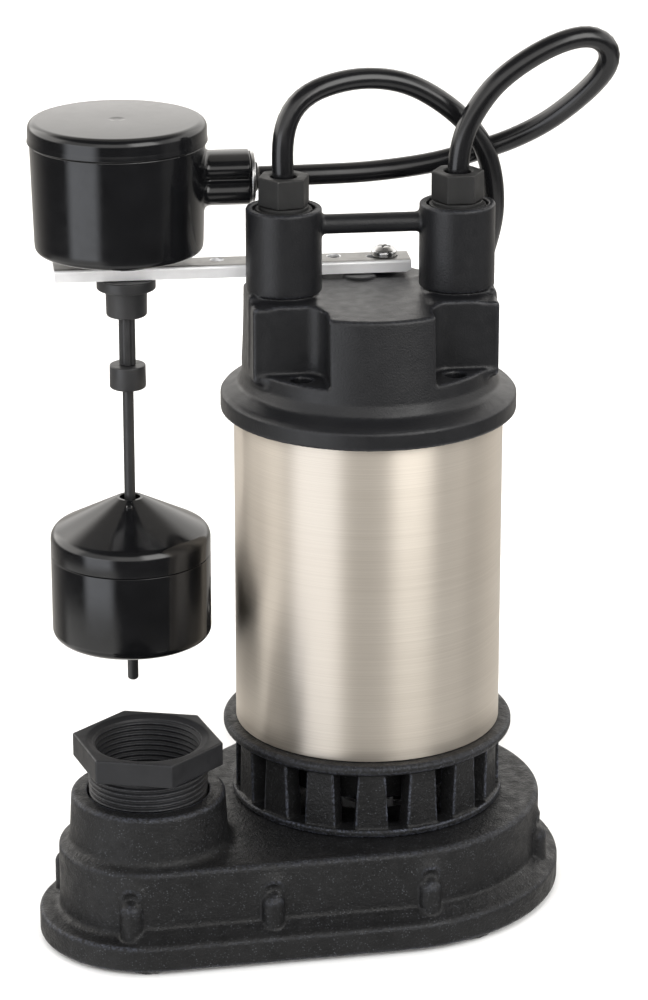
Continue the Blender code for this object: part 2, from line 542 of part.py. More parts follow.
def make_bracket():
    y0, y1 = BRACKET_Y - BRACKET_W / 2, BRACKET_Y + BRACKET_W / 2
    bracket = blocks("float_bracket", [((BRACKET_LEFT, y0, BRACKET_LOW), (BRACKET_RIGHT, y1, BRACKET_TOP))],
                     TOP, ZINC)
    inside = blocks("bracket_channel", [((BRACKET_LEFT - 2, y0 + BRACKET_T, 250),
                                         (BRACKET_RIGHT + 2, y1 - BRACKET_T, BRACKET_TOP - BRACKET_T))], TOP)
    slot = hull_slab("bracket_slot", [(4.8, BRACKET_Y, 2.6), (BRACKET_SCREW_X + 3, BRACKET_Y, 2.6)], 250, 270,
                     TOP, steps=12)
    holes = rods("bracket_holes", [(-58, BRACKET_Y + 2), (-10.8, BRACKET_Y + 2)], 3.2, 250, 270, TOP, steps=12)
    stem = rods("bracket_stem_hole", [(SWITCH_X, SWITCH_Y)], 5.4, 240, 270, TOP)
    cut(rounded(bracket, 1.2), inside, slot, holes, stem)
    dome = [(0, 264.6), (2.4, 264.3), (4.4, 263.0), (5.2, 261.0), (5.2, BRACKET_TOP + GAP), (2.0, BRACKET_TOP + GAP),
            (2.0, 246), (0, 246)]
    screw = turned("bracket_screw", dome, TOP, ZINC, COARSE)
    screw.location = Vector((BRACKET_SCREW_X, BRACKET_Y, 0)) * MM
    cross = [((-2.6, -0.5, 262.6), (2.6, 0.5, 266)), ((-0.5, -2.6, 262.6), (0.5, 2.6, 266))]
    for i, box in enumerate(cross):
        drive = blocks(f"screw_drive_{i + 1}", [box], TOP)
        drive.location = Vector((BRACKET_SCREW_X, BRACKET_Y, 0)) * MM
        cut(screw, drive)


def make_switch():
    inner = SWITCH_R - SWITCH_WALL
    body = turned("switch_body", [
        (SWITCH_R + 0.2, SWITCH_TOP), (SWITCH_R - 0.9, SWITCH_LOW + 4), (SWITCH_R - 2.1, SWITCH_LOW + 1.2),
        (SWITCH_R - 5, SWITCH_LOW), (0, SWITCH_LOW), (0, SWITCH_LOW + 3), (inner - 0.6, SWITCH_LOW + 3),
        (inner, SWITCH_TOP)], HOUSING, GLOSS_BLACK, 36)
    boss = rods("switch_boss", [(0, 0)], SWITCH_BOSS_R, BRACKET_TOP + GAP, SWITCH_LOW + 1, SWITCH, steps=16)
    neck = bar("switch_neck", (SWITCH_R - 6, 0, NECK_Z), (NECK_END, 0, NECK_Z), NECK_R, SWITCH, steps=24)
    lugs = [((LEVER_PIVOT_X - 3, y - 2, SWITCH_LOW + 2), (LEVER_PIVOT_X + 3, y + 2, LEVER_Z + 3)) for y in (-6, 6)]
    shelf = ((8, -5, SWITCH_LOW + 2), (26, 5, MICROSWITCH_LOW - GAP))
    join(body, boss, neck, blocks("lever_lugs", lugs, SWITCH), blocks("microswitch_shelf", [shelf], SWITCH))
    cut(body, rods("stem_bore", [(0, 0)], 4.2, 250, SWITCH_LOW + 6, SWITCH),
        bar("neck_bore", (26.5, 0, NECK_Z), (60, 0, NECK_Z), 7.6, SWITCH),
        bar("lug_bore", (LEVER_PIVOT_X, -12, LEVER_Z), (LEVER_PIVOT_X, 12, LEVER_Z), 1.6, SWITCH, steps=TINY))
    turned("switch_cover", [(0, COVER_TOP), (31.5, COVER_TOP), (34.4, COVER_TOP - 0.9), (COVER_R, COVER_TOP - 3.2),
                            (COVER_R, SWITCH_TOP + GAP), (inner - GAP, SWITCH_TOP + GAP),
                            (inner - GAP, SWITCH_TOP - 3), (inner - 2.5, SWITCH_TOP - 3),
                            (inner - 2.5, SWITCH_TOP + 5), (0, SWITCH_TOP + 5)], HOUSING, GLOSS_BLACK, 36)
    face = NECK_END + GAP
    neck_ring = bar("neck_ring", (face, 0, NECK_Z), (face + 1.6, 0, NECK_Z), 10.4, SWITCH, ZINC, steps=24)
    cut(neck_ring, bar("neck_ring_bore", (40, 0, NECK_Z), (60, 0, NECK_Z), 6.2, SWITCH))
    grommet = bar("neck_grommet", (face - 5, 0, NECK_Z), (face + 3, 0, NECK_Z), 5.9, SWITCH, RUBBER)
    cut(grommet, bar("grommet_bore", (30, 0, NECK_Z), (60, 0, NECK_Z), 3.0, SWITCH, steps=16))
    turned("guide_bushing", [(GUIDE_FLANGE_R, BRACKET_LOW - GAP), (GUIDE_FLANGE_R, GUIDE_FLANGE_LOW),
                             (GUIDE_R, GUIDE_FLANGE_LOW), (GUIDE_R, GUIDE_LOW), (ROD_UPPER_R + 0.45, GUIDE_LOW),
                             (ROD_UPPER_R + 0.45, 260.6), (5.1, 260.6), (5.1, BRACKET_LOW - GAP)],
           SWITCH, BUSHING_GREY, 20)
    blocks("microswitch", [((6, -5, MICROSWITCH_LOW), (26, 5, 288))], SWITCH, GREY_PLASTIC)
    bar("lever_pin", (LEVER_PIVOT_X, -8, LEVER_Z), (LEVER_PIVOT_X, 8, LEVER_Z), 1.2, SWITCH, STEEL, TINY)


def make_rod_and_float():
    turned("float_rod", [(0, ROD_TOP), (1.8, ROD_TOP), (ROD_UPPER_R, ROD_TOP - 2), (ROD_UPPER_R, COLLAR_TOP + GAP),
                         (ROD_R, COLLAR_TOP + GAP), (ROD_R, ROD_LOW + 0.8), (ROD_R - 0.8, ROD_LOW), (0, ROD_LOW)],
           ROD, BUSHING_GREY, 12)
    bore = ROD_R + GAP
    turned("stop_collar", [(bore, COLLAR_TOP), (6.5, COLLAR_TOP), (COLLAR_R, COLLAR_TOP - 0.8),
                           (COLLAR_R, COLLAR_LOW + 0.8), (6.5, COLLAR_LOW), (bore, COLLAR_LOW)],
           ROD, BUSHING_GREY, COARSE)
    turned("lower_stop", [(bore, 109.7), (5.0, 109.7), (5.0, 103.4), (bore, 103.4)], ROD, BUSHING_GREY, 12)
    guide = ROD_R + 0.6
    turned("float_shell", [
        (FLOAT_R, FLOAT_SEAM), (FLOAT_R, FLOAT_LOW + 4), (FLOAT_R - 1.2, FLOAT_LOW + 1.2),
        (FLOAT_R - 4, FLOAT_LOW), (6.0, FLOAT_LOW), (6.0, 110), (guide, 110), (guide, 112.5), (9, 112.5),
        (9, FLOAT_LOW + 2.5), (FLOAT_R - 4, FLOAT_LOW + 2.5), (FLOAT_R - 2.2, FLOAT_LOW + 4),
        (FLOAT_R - 2.2, FLOAT_SEAM)], FLOAT, GLOSS_BLACK, 36)
    turned("float_cone", [
        (guide, FLOAT_TOP), (5.2, FLOAT_TOP), (7.5, FLOAT_TOP - 1.2), (30.6, 148.6), (32.3, 147),
        (FLOAT_R, 145), (FLOAT_R, FLOAT_SEAM + GAP), (FLOAT_R - 2.2, FLOAT_SEAM + GAP), (FLOAT_R - 2.2, 144.6),
        (7.4, 158), (guide, 158)], FLOAT, GLOSS_BLACK, 36)


def make_lever():
    """The arm that the rod's end lifts, turning about the lever pin."""
    arm = blocks("switch_lever", [((-2.8, -3, -1.6), (24, 3, 1.6))], LEVER, STEEL)
    cut(arm, bar("lever_bore", (0, -10, 0), (0, 10, 0), 1.5, LEVER, steps=16))


def smooth_route(points, count):
    """Evenly spaced points on the Catmull-Rom curve through the route's own points."""
    points = [Vector(point) for point in points]
    padded = [2 * points[0] - points[1], *points, 2 * points[-1] - points[-2]]
    dense = []
    for before, start, end, after in zip(padded, padded[1:], padded[2:], padded[3:]):
        for i in range(12):
            t = i / 12
            dense.append(0.5 * (2 * start + (end - before) * t
                                + (2 * before - 5 * start + 4 * end - after) * t ** 2
                                + (3 * start - before - 3 * end + after) * t ** 3))
    dense.append(points[-1])
    travelled = [0.0]
    for first, second in zip(dense, dense[1:]):
        travelled.append(travelled[-1] + (second - first).length)
    even, k = [], 0
    for i in range(count):
        wanted = travelled[-1] * i / (count - 1)
        while k < len(dense) - 2 and travelled[k + 1] < wanted:
            k += 1
        share = (wanted - travelled[k]) / (travelled[k + 1] - travelled[k])
        even.append(dense[k].lerp(dense[k + 1], share))
    return even


def tube(name, points, radius):
    """A cord's tube along points in metres."""
    curve = bpy.data.curves.new(name, "CURVE")
    curve.dimensions = "3D"
    curve.bevel_depth = radius * MM
    curve.bevel_resolution = 2
    curve.use_fill_caps = True
    spline = curve.splines.new("POLY")
    spline.points.add(len(points) - 1)
    for point, place in zip(spline.points, points):
        point.co = (*place, 1)
    obj = bpy.data.objects.new(name, curve)
    curve.materials.append(CORD_BLACK)
    PARTS.objects.link(obj)


def make_cords():
    tube("power_cord", smooth_route(POWER_ROUTE, 38), CORD_R)
    tube("switch_cord", smooth_route(SWITCH_ROUTE, 24), CORD_R)
    tube("cord_tail", smooth_route(TAIL_ROUTE, 12), CORD_R)
    spot = frame("coil_centre", (*COIL_SPOT, 0))
    inner, outer = COIL_MEAN_R - COIL_HALF_W, COIL_MEAN_R + COIL_HALF_W
    turned("cord_coil", [
        (outer - 4, COIL_TOP), (outer, COIL_TOP - 4), (outer, COIL_LOW + 4), (outer - 4, COIL_LOW),
        (inner + 4, COIL_LOW), (inner, COIL_LOW + 4), (inner, COIL_TOP - 4), (inner + 4, COIL_TOP)],
        spot, CORD_BLACK)
    tie_spot = frame("tie_side", (0, 0, 0), TIE_ANGLE, spot)
    tie = blocks("cord_tie", [((inner - 1.5, -3.5, 0.4), (outer + 1.5, 3.5, COIL_TOP + 1.4))], tie_spot, RUBBER)
    cut(tie, blocks("tie_window", [((inner - 0.6, -9, COIL_LOW - 0.4), (outer + 0.5, 9, COIL_TOP + 0.4))],
                    tie_spot))
    plug = frame("plug_centre", PLUG_SPOT, PLUG_TURN)
    body = rounded(blocks("plug_body", [((-17, -13, -13), (17, 13, 13))], plug, RUBBER), 4)
    join(body, bar("plug_relief", (12, 0, 0), (34, 0, 0), 6.4, plug, steps=12))
    for name, y in (("plug_blade_1", -6.35), ("plug_blade_2", 6.35)):
        blocks(name, [((-33.5, y - 0.75, -1.3), (-17 - GAP, y + 0.75, 4.9))], plug, BRASS)
    bar("plug_ground_pin", (-37.5, 0, -9.0), (-17 - GAP, 0, -9.0), 2.4, plug, BRASS, 12)


make_casing()
make_cover()
make_bushing()
make_cage()
make_motor()
make_rotor()
make_cap()
make_bracket()
make_switch()
make_rod_and_float()
make_lever()
make_cords()
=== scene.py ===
import json
import math

import bpy
import numpy as np
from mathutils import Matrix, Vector


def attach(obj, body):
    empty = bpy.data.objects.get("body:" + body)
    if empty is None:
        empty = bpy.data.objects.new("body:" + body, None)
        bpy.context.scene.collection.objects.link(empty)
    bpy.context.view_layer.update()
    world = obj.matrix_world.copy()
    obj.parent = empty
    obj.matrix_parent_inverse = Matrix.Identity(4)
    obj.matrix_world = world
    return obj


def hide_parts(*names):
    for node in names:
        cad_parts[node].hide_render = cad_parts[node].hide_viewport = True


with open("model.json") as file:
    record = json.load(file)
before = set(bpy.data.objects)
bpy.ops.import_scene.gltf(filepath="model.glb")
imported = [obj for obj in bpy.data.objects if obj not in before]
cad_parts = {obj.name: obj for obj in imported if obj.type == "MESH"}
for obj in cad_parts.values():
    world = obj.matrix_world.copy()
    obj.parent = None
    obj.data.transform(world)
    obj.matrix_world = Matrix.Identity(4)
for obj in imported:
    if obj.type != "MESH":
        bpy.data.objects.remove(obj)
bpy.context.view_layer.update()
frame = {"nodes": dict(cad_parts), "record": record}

# Shapes are worked out in millimetres, each in the frame of its own assembly, and placed in metres.
MM = 0.001
MOTOR_X, MOTOR_Y = 34.0, -8.5
CAP_YAW = math.radians(-24.4)
DISCHARGE_X = -103.0
TOWER_X, TOWER_Y = 34.4, -5.0
WALL_R = (71.2, 36.2)  # the base's wall about the motor and about the discharge
FLANGE_R = (79.4, 44.5)
SWITCH_X, SWITCH_Y = -94.8, 24.2
HOUSING_X = -2.5  # the switch housing's axis stands beside the float rod's
NECK_Z = 295.0
CAMERA_YAW = math.radians(-31.14)
COARSER = 1.0


def spun(x, y, turn):
    return x * math.cos(turn) - y * math.sin(turn), x * math.sin(turn) + y * math.cos(turn)


def in_top(x, y):
    """A point of the top assembly's plan, in the object's frame."""
    right, back = spun(x, y, CAP_YAW)
    return MOTOR_X + right, MOTOR_Y + back


PLUG_TURN = math.radians(-31.1)
FRAMES = {
    "row": (0.0, (0.0, 0.0, 0.0)),
    "base": (0.0, (MOTOR_X, MOTOR_Y, 0.0)),
    "discharge": (0.0, (MOTOR_X + DISCHARGE_X, MOTOR_Y, 0.0)),
    "top": (CAP_YAW, (MOTOR_X, MOTOR_Y, 0.0)),
    "power_tower": (CAP_YAW, (*in_top(-TOWER_X, TOWER_Y), 0.0)),
    "switch_tower": (CAP_YAW, (*in_top(TOWER_X, TOWER_Y), 0.0)),
    "screw": (CAP_YAW, (*in_top(9.3, 24.8), 0.0)),
    "switch": (CAP_YAW, (*in_top(SWITCH_X, SWITCH_Y), 0.0)),
    "housing": (CAP_YAW, (*in_top(SWITCH_X + HOUSING_X, SWITCH_Y), 0.0)),
    "plug": (PLUG_TURN, (128.0, 162.5, 41.8)),
    "tie": (math.radians(-140), (118.5, 127.5, 0.0)),
}


# ---------------------------------------------------------------- materials

class Graph:
    """Short calls for the nodes of one material or world."""

    def __init__(self, owner):
        owner.use_nodes = True
        self.tree = owner.node_tree

    def node(self, kind, **values):
        made = self.tree.nodes.new(kind)
        for name, value in values.items():
            setattr(made, name, value)
        return made

    def join(self, source, node, socket):
        if isinstance(source, (int, float)):
            node.inputs[socket].default_value = source
        elif isinstance(source, (tuple, list)):
            node.inputs[socket].default_value = source
        else:
            self.tree.links.new(source, node.inputs[socket])

    def maths(self, operation, first, second=0.0, clamp=False):
        made = self.node("ShaderNodeMath", operation=operation, use_clamp=clamp)
        self.join(first, made, 0)
        self.join(second, made, 1)
        return made.outputs[0]

    def span(self, value, low, high, start=0.0, end=1.0, smooth=False):
        """value taken from low..high to start..end, and held there outside."""
        made = self.node("ShaderNodeMapRange", clamp=True)
        made.interpolation_type = "SMOOTHSTEP" if smooth else "LINEAR"
        for socket, given in enumerate((value, low, high, start, end)):
            self.join(given, made, socket)
        return made.outputs[0]

    def noise(self, where, scale, detail=2.0, rough=0.5):
        made = self.node("ShaderNodeTexNoise")
        self.join(where, made, "Vector")
        made.inputs["Scale"].default_value = scale
        made.inputs["Detail"].default_value = detail
        made.inputs["Roughness"].default_value = rough
        return made.outputs["Fac"]

    def mix(self, share, first, second):
        made = self.node("ShaderNodeMix", data_type="RGBA")
        self.join(share, made, 0)
        self.join(first, made, 6)
        self.join(second, made, 7)
        return made.outputs[2]

    def stretched(self, where, scale):
        made = self.node("ShaderNodeMapping")
        self.join(where, made, "Vector")
        made.inputs["Scale"].default_value = scale
        return made.outputs[0]


def rgba(colour, by=1.0):
    return (*(channel * by for channel in colour), 1.0)


def finish_of(name, colour, roughness, metallic=0.0, grain=(), mottle=0.25, patch=70.0, uneven=0.1,
              painted_glint_specks=0.0, edge_wear_and_highlight=None, edge_wear_and_highlight_at=(0.53, 0.6), stretch=None, fixed=None, painted_top_shade=None):
    """A material with unevenness in colour and roughness, fine relief, and, where asked, pale edges that are partly
    wear and partly a painted highlight, pale specks painted as glints, and painted shade on faces that look up.
    """
    made = bpy.data.materials.new(name)
    graph = Graph(made)
    shader = graph.tree.nodes["Principled BSDF"]
    where = graph.node("ShaderNodeTexCoord").outputs["Object"]
    if stretch:
        where = graph.stretched(where, stretch)
    blotch = graph.noise(where, patch, 4.0, 0.6)
    tone = graph.mix(graph.span(blotch, 0.3, 0.7), rgba(colour, 1 - mottle), rgba(colour, 1 + mottle))
    rough = graph.span(graph.noise(where, patch * 3.1, 3.0), 0.3, 0.7, roughness - uneven, roughness + uneven)
    # Faces that look up take the given colour: painted shade on the tops.
    if painted_top_shade:
        facing = graph.node("ShaderNodeSeparateXYZ")
        graph.join(graph.node("ShaderNodeNewGeometry").outputs["Normal"], facing, 0)
        tone = graph.mix(graph.span(facing.outputs["Z"], 0.75, 0.95), tone, rgba(painted_top_shade))
    # Convex edges turn pale by their pointiness: partly wear, partly a painted highlight along the edges.
    if edge_wear_and_highlight:
        edges = graph.span(graph.node("ShaderNodeNewGeometry").outputs["Pointiness"], *edge_wear_and_highlight_at)
        broken = graph.span(graph.noise(where, 900.0, 3.0, 0.7), 0.42, 0.62)
        edges = graph.maths("MULTIPLY", edges, broken)
        tone = graph.mix(edges, tone, rgba(edge_wear_and_highlight))
    # Scattered pale bluish specks: painted glints on the grain.
    if painted_glint_specks:
        cells = graph.node("ShaderNodeTexVoronoi")
        graph.join(where, cells, "Vector")
        cells.inputs["Scale"].default_value = 900.0
        dots = graph.span(cells.outputs["Distance"], 0.1, 0.3, 1.0, 0.0)
        rare = graph.span(graph.noise(where, 260.0, 2.0), 0.38, 0.66)
        tone = graph.mix(graph.maths("MULTIPLY", graph.maths("MULTIPLY", dots, rare), painted_glint_specks), tone,
                         (0.42, 0.45, 0.5, 1.0))
    graph.join(tone, shader, "Base Color")
    graph.join(rough, shader, "Roughness")
    shader.inputs["Metallic"].default_value = metallic
    for socket, value in (fixed or {}).items():
        shader.inputs[socket].default_value = value
    normal = None
    for scale, height in grain:
        bump = graph.node("ShaderNodeBump")
        graph.join(graph.noise(where, scale, 3.0, 0.55), bump, "Height")
        bump.inputs["Strength"].default_value = 1.0
        bump.inputs["Distance"].default_value = height * MM
        if normal:
            graph.join(normal, bump, "Normal")
        normal = bump.outputs["Normal"]
    if normal:
        graph.join(normal, shader, "Normal")
    return made


def brushed_shell():
    """Stainless sheet with fine brushing round the shell, which draws its reflections into upright bands."""
    made = bpy.data.materials.new("brushed_stainless")
    graph = Graph(made)
    shader = graph.tree.nodes["Principled BSDF"]
    where = graph.node("ShaderNodeTexCoord").outputs["Object"]
    lines = graph.noise(graph.stretched(where, (9.0, 9.0, 2600.0)), 1.0, 4.0, 0.7)
    cloud = graph.noise(where, 14.0, 3.0)
    tone = graph.mix(graph.span(lines, 0.25, 0.75), (0.60, 0.545, 0.475, 1), (0.735, 0.68, 0.605, 1))
    tone = graph.mix(graph.span(cloud, 0.35, 0.7, 0.0, 0.35), tone, (0.62, 0.55, 0.47, 1))
    graph.join(tone, shader, "Base Color")
    graph.join(graph.span(lines, 0.2, 0.8, 0.36, 0.46), shader, "Roughness")
    shader.inputs["Metallic"].default_value = 1.0
    shader.inputs["Anisotropic"].default_value = 0.9
    shader.inputs["Anisotropic Rotation"].default_value = 0.25
    tangent = graph.node("ShaderNodeTangent", direction_type="RADIAL", axis="Z")
    graph.join(tangent.outputs[0], shader, "Tangent")
    bump = graph.node("ShaderNodeBump")
    graph.join(lines, bump, "Height")
    bump.inputs["Strength"].default_value = 0.5
    bump.inputs["Distance"].default_value = 0.006 * MM
    graph.join(bump.outputs["Normal"], shader, "Normal")
    return made


# The pale edges in these materials are partly wear and partly a painted edge highlight; the cast's pale specks are
# painted glints.
DULL = {"Specular IOR Level": 0.26}
CAST = finish_of("cast_e_coat", (0.008, 0.008, 0.0084), 0.44, grain=((330.0, 0.3), (900.0, 0.3), (2100.0, 0.14)),
                 painted_glint_specks=0.12, edge_wear_and_highlight=(0.075, 0.083, 0.11), edge_wear_and_highlight_at=(0.515, 0.57), uneven=0.14, fixed=DULL)
CAP = finish_of("cap_epoxy", (0.0075, 0.0077, 0.0088), 0.37, grain=((1300.0, 0.1),), uneven=0.05, mottle=0.07,
                edge_wear_and_highlight=(0.04, 0.042, 0.05), edge_wear_and_highlight_at=(0.515, 0.58), fixed={"Specular IOR Level": 0.34})
BUSHING = finish_of("bushing_plastic", (0.0105, 0.0107, 0.012), 0.46, grain=((900.0, 0.012),), uneven=0.06,
                    edge_wear_and_highlight=(0.05, 0.052, 0.058), edge_wear_and_highlight_at=(0.52, 0.6), fixed={"Specular IOR Level": 0.35})
GLOSS = finish_of("switch_gloss", (0.0045, 0.0046, 0.0052), 0.13, grain=((120.0, 0.012),), uneven=0.04)
PLASTIC = finish_of("rod_plastic", (0.018, 0.018, 0.019), 0.42, grain=((800.0, 0.01),), uneven=0.08)
NUT = finish_of("gland_plastic", (0.013, 0.013, 0.013), 0.55, grain=((1000.0, 0.02),), uneven=0.08,
                edge_wear_and_highlight=(0.06, 0.058, 0.056), edge_wear_and_highlight_at=(0.52, 0.6), fixed={"Specular IOR Level": 0.3})
RUBBER = finish_of("rubber_black", (0.014, 0.014, 0.014), 0.6, grain=((1400.0, 0.03),))
CORD = finish_of("cord_jacket", (0.0055, 0.0055, 0.0062), 0.2, grain=((1500.0, 0.004),), uneven=0.04)
SHELL = brushed_shell()
ZINC = finish_of("zinc_plate", (0.6, 0.6, 0.6), 0.26, 1.0, grain=((500.0, 0.012),), mottle=0.08, uneven=0.07)
# The channel's upward faces are painted darker: painted shade on its top.
CHANNEL = finish_of("zinc_channel", (0.92, 0.92, 0.93), 0.36, 0.45, grain=((500.0, 0.015),), mottle=0.06,
                    uneven=0.07, painted_top_shade=(0.22, 0.215, 0.205))
STEEL = finish_of("machined_steel", (0.52, 0.52, 0.53), 0.34, 1.0, grain=((700.0, 0.01),), mottle=0.12)
LAMINATION = finish_of("lamination_steel", (0.33, 0.33, 0.35), 0.5, 1.0, grain=((1800.0, 0.05),),
                       stretch=(0.02, 0.02, 1.0))
COPPER = finish_of("enamelled_copper", (0.72, 0.30, 0.12), 0.35, 1.0, grain=((700.0, 0.25),))
CERAMIC = finish_of("seal_ceramic", (0.78, 0.78, 0.74), 0.3, grain=((900.0, 0.005),), mottle=0.05)
GREY = finish_of("grey_plastic", (0.25, 0.25, 0.26), 0.5, grain=((900.0, 0.015),), mottle=0.1)
BRASS = finish_of("brass", (0.80, 0.60, 0.28), 0.25, 1.0, grain=((600.0, 0.01),), mottle=0.1)


# ---------------------------------------------------------------- meshes

def placed(points, where):
    """Millimetres in an assembly's frame to metres in the object's frame."""
    turn, origin = FRAMES[where]
    points = np.asarray(points, float)
    x, y = spun(points[:, 0], points[:, 1], turn)
    return (np.stack([x, y, points[:, 2]], axis=1) + origin) * MM


def piece(name, points, faces, where, material, body, nodes, crease=None):
    """A finished piece: its mesh, material, body and the CAD nodes that it stands for."""
    mesh = bpy.data.meshes.new(name)
    points = placed(points, where)
    if isinstance(faces, np.ndarray):
        mesh.vertices.add(len(points))
        mesh.vertices.foreach_set("co", points.astype(np.float32).ravel())
        mesh.loops.add(faces.size)
        mesh.loops.foreach_set("vertex_index", faces.astype(np.int32).ravel())
        mesh.polygons.add(len(faces))
        mesh.polygons.foreach_set("loop_start", np.arange(0, faces.size, faces.shape[1], dtype=np.int32))
        mesh.update(calc_edges=True)
    else:
        mesh.from_pydata(points.tolist(), [], faces)
    mesh.validate()
    mesh.polygons.foreach_set("use_smooth", np.ones(len(mesh.polygons), bool))
    if crease:
        mesh.set_sharp_from_angle(angle=math.radians(crease))
    made = bpy.data.objects.new(name, mesh)
    bpy.context.scene.collection.objects.link(made)
    mesh.materials.append(material)
    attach(made, body)
    if nodes:
        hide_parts(*nodes)
    return made


def filleted(corners, closed=True, steps=5):
    """The outline through (u, v, radius) corners, with an arc at each corner that has a radius."""
    points, count = [], len(corners)
    for i, (u, v, radius) in enumerate(corners):
        here = np.array((u, v), float)
        if not radius or (not closed and i in (0, count - 1)):
            points.append((u, v))
            continue
        before = np.array(corners[i - 1][:2], float) - here
        after = np.array(corners[(i + 1) % count][:2], float) - here
        long_a, long_b = np.hypot(*before), np.hypot(*after)
        before, after = before / long_a, after / long_b
        half = math.acos(max(-1.0, min(1.0, float(before @ after)))) / 2
        reach = min(radius / math.tan(half), long_a * 0.49, long_b * 0.49)
        real = reach * math.tan(half)
        middle = here + (before + after) / np.hypot(*(before + after)) * real / math.sin(half)
        first, last = here + before * reach - middle, here + after * reach - middle
        sweep = math.atan2(first[0] * last[1] - first[1] * last[0], float(first @ last))
        for k in range(steps + 1):
            x, y = spun(first[0], first[1], sweep * k / steps)
            points.append((middle[0] + x, middle[1] + y))
    return points


def lathe(name, corners, where, material, body, nodes, around=96, steps=5, axis="z", crease=34,
          centre=(0.0, 0.0), seam=0.0):
    """A turned piece from (radius, height, fillet) corners, running from its top down its outer side."""
    profile = filleted(corners, steps=steps)
    turns = [2 * math.pi * i / around + seam for i in range(around)]
    points, rows = [], []
    for radius, height in profile:
        if radius < 1e-6:
            rows.append([len(points)] * around)
            points.append((0.0, 0.0, height))
        else:
            rows.append(list(range(len(points), len(points) + around)))
            points += [(radius * math.cos(turn), radius * math.sin(turn), height) for turn in turns]
    faces = []
    for upper, lower in zip(rows, rows[1:] + rows[:1]):
        for i in range(around):
            j = (i + 1) % around
            corner = list(dict.fromkeys((upper[i], lower[i], lower[j], upper[j])))
            if len(corner) > 2:
                faces.append(corner)
    points = np.array(points)
    if axis == "x":
        points = np.stack([points[:, 2], points[:, 0], points[:, 1]], axis=1)
    points[:, 0:2] += centre if axis == "z" else (0.0, centre[0])
    if axis == "x":
        points[:, 2] += centre[1]
    return piece(name, points, faces, where, material, body, nodes, crease)


def smin(a, b, blend):
    """The union of two distance fields, with a fillet where they meet."""
    near = np.maximum(blend - np.abs(a - b), 0.0) / blend
    return np.minimum(a, b) - near * near * blend * 0.25


def smax(a, b, blend):
    return -smin(-a, -b, blend)


def slab(flat, z, low, high, edge):
    """A flat distance field carried from low to high, with rounded edges."""
    side = flat + edge
    end = np.abs(z - (low + high) / 2) - (high - low) / 2 + edge
    outside = np.sqrt(np.maximum(side, 0.0) ** 2 + np.maximum(end, 0.0) ** 2)
    return np.minimum(np.maximum(side, end), 0.0) + outside - edge


def rod(away, z, radius, low, high, edge):
    return slab(away - radius, z, low, high, edge)


def block(x, y, z, half, edge):
    """A rounded box about the origin of x, y and z."""
    parts = [np.abs(v) - h + edge for v, h in zip((x, y, z), half)]
    outside = np.sqrt(sum(np.maximum(part, 0.0) ** 2 for part in parts))
    return np.minimum(np.maximum(np.maximum(parts[0], parts[1]), parts[2]), 0.0) + outside - edge


def hexagon(x, y, across, turn):
    """A hexagon by its size across corners, with a corner at that turn."""
    sides = []
    for k in range(3):
        angle = turn + math.pi / 6 + k * math.pi / 3
        sides.append(np.abs(x * math.cos(angle) + y * math.sin(angle)))
    return np.maximum(np.maximum(sides[0], sides[1]), sides[2]) - across / 2 * math.cos(math.pi / 6)


def ramp_wave(turns):
    """A rounded thread form: 0 at the root and 1 at the crest."""
    return 0.5 + 0.5 * np.clip(1.25 * np.sin(2 * np.pi * turns), -1, 1)


class Outline:
    """The signed distance to a closed outline in a plane, kept as a table and read between its values."""

    def __init__(self, corners, edge=0.0, step=0.2, margin=14.0, steps=5):
        points = np.array(filleted(corners, steps=steps))
        self.low = points.min(0) - margin
        self.step = step
        count = np.ceil((points.max(0) + margin - self.low) / step).astype(int) + 1
        u = (self.low[0] + step * np.arange(count[0]))[:, None]
        v = (self.low[1] + step * np.arange(count[1]))[None, :]
        best, inside = np.full((count[0], count[1]), np.inf), np.zeros((count[0], count[1]), bool)
        for (ax, ay), (bx, by) in zip(points, np.roll(points, 1, axis=0)):
            ex, ey = bx - ax, by - ay
            if ex * ex + ey * ey < 1e-12:
                continue
            wx, wy = u - ax, v - ay
            along = np.clip((wx * ex + wy * ey) / (ex * ex + ey * ey), 0, 1)
            best = np.minimum(best, (wx - ex * along) ** 2 + (wy - ey * along) ** 2)
            above, below, left = v >= ay, v < by, ex * wy > ey * wx
            inside ^= (above & below & left) | (~above & ~below & ~left)
        self.table = np.where(inside, -1, 1) * np.sqrt(best) - edge

    def __call__(self, u, v):
        a = np.clip((u - self.low[0]) / self.step, 0, self.table.shape[0] - 1.001)
        b = np.clip((v - self.low[1]) / self.step, 0, self.table.shape[1] - 1.001)
        a, b = np.broadcast_arrays(a, b)
        i, j = a.astype(np.int32), b.astype(np.int32)
        a, b = a - i, b - j
        t = self.table
        return ((t[i, j] * (1 - a) + t[i + 1, j] * a) * (1 - b)
                + (t[i, j + 1] * (1 - a) + t[i + 1, j + 1] * a) * b)


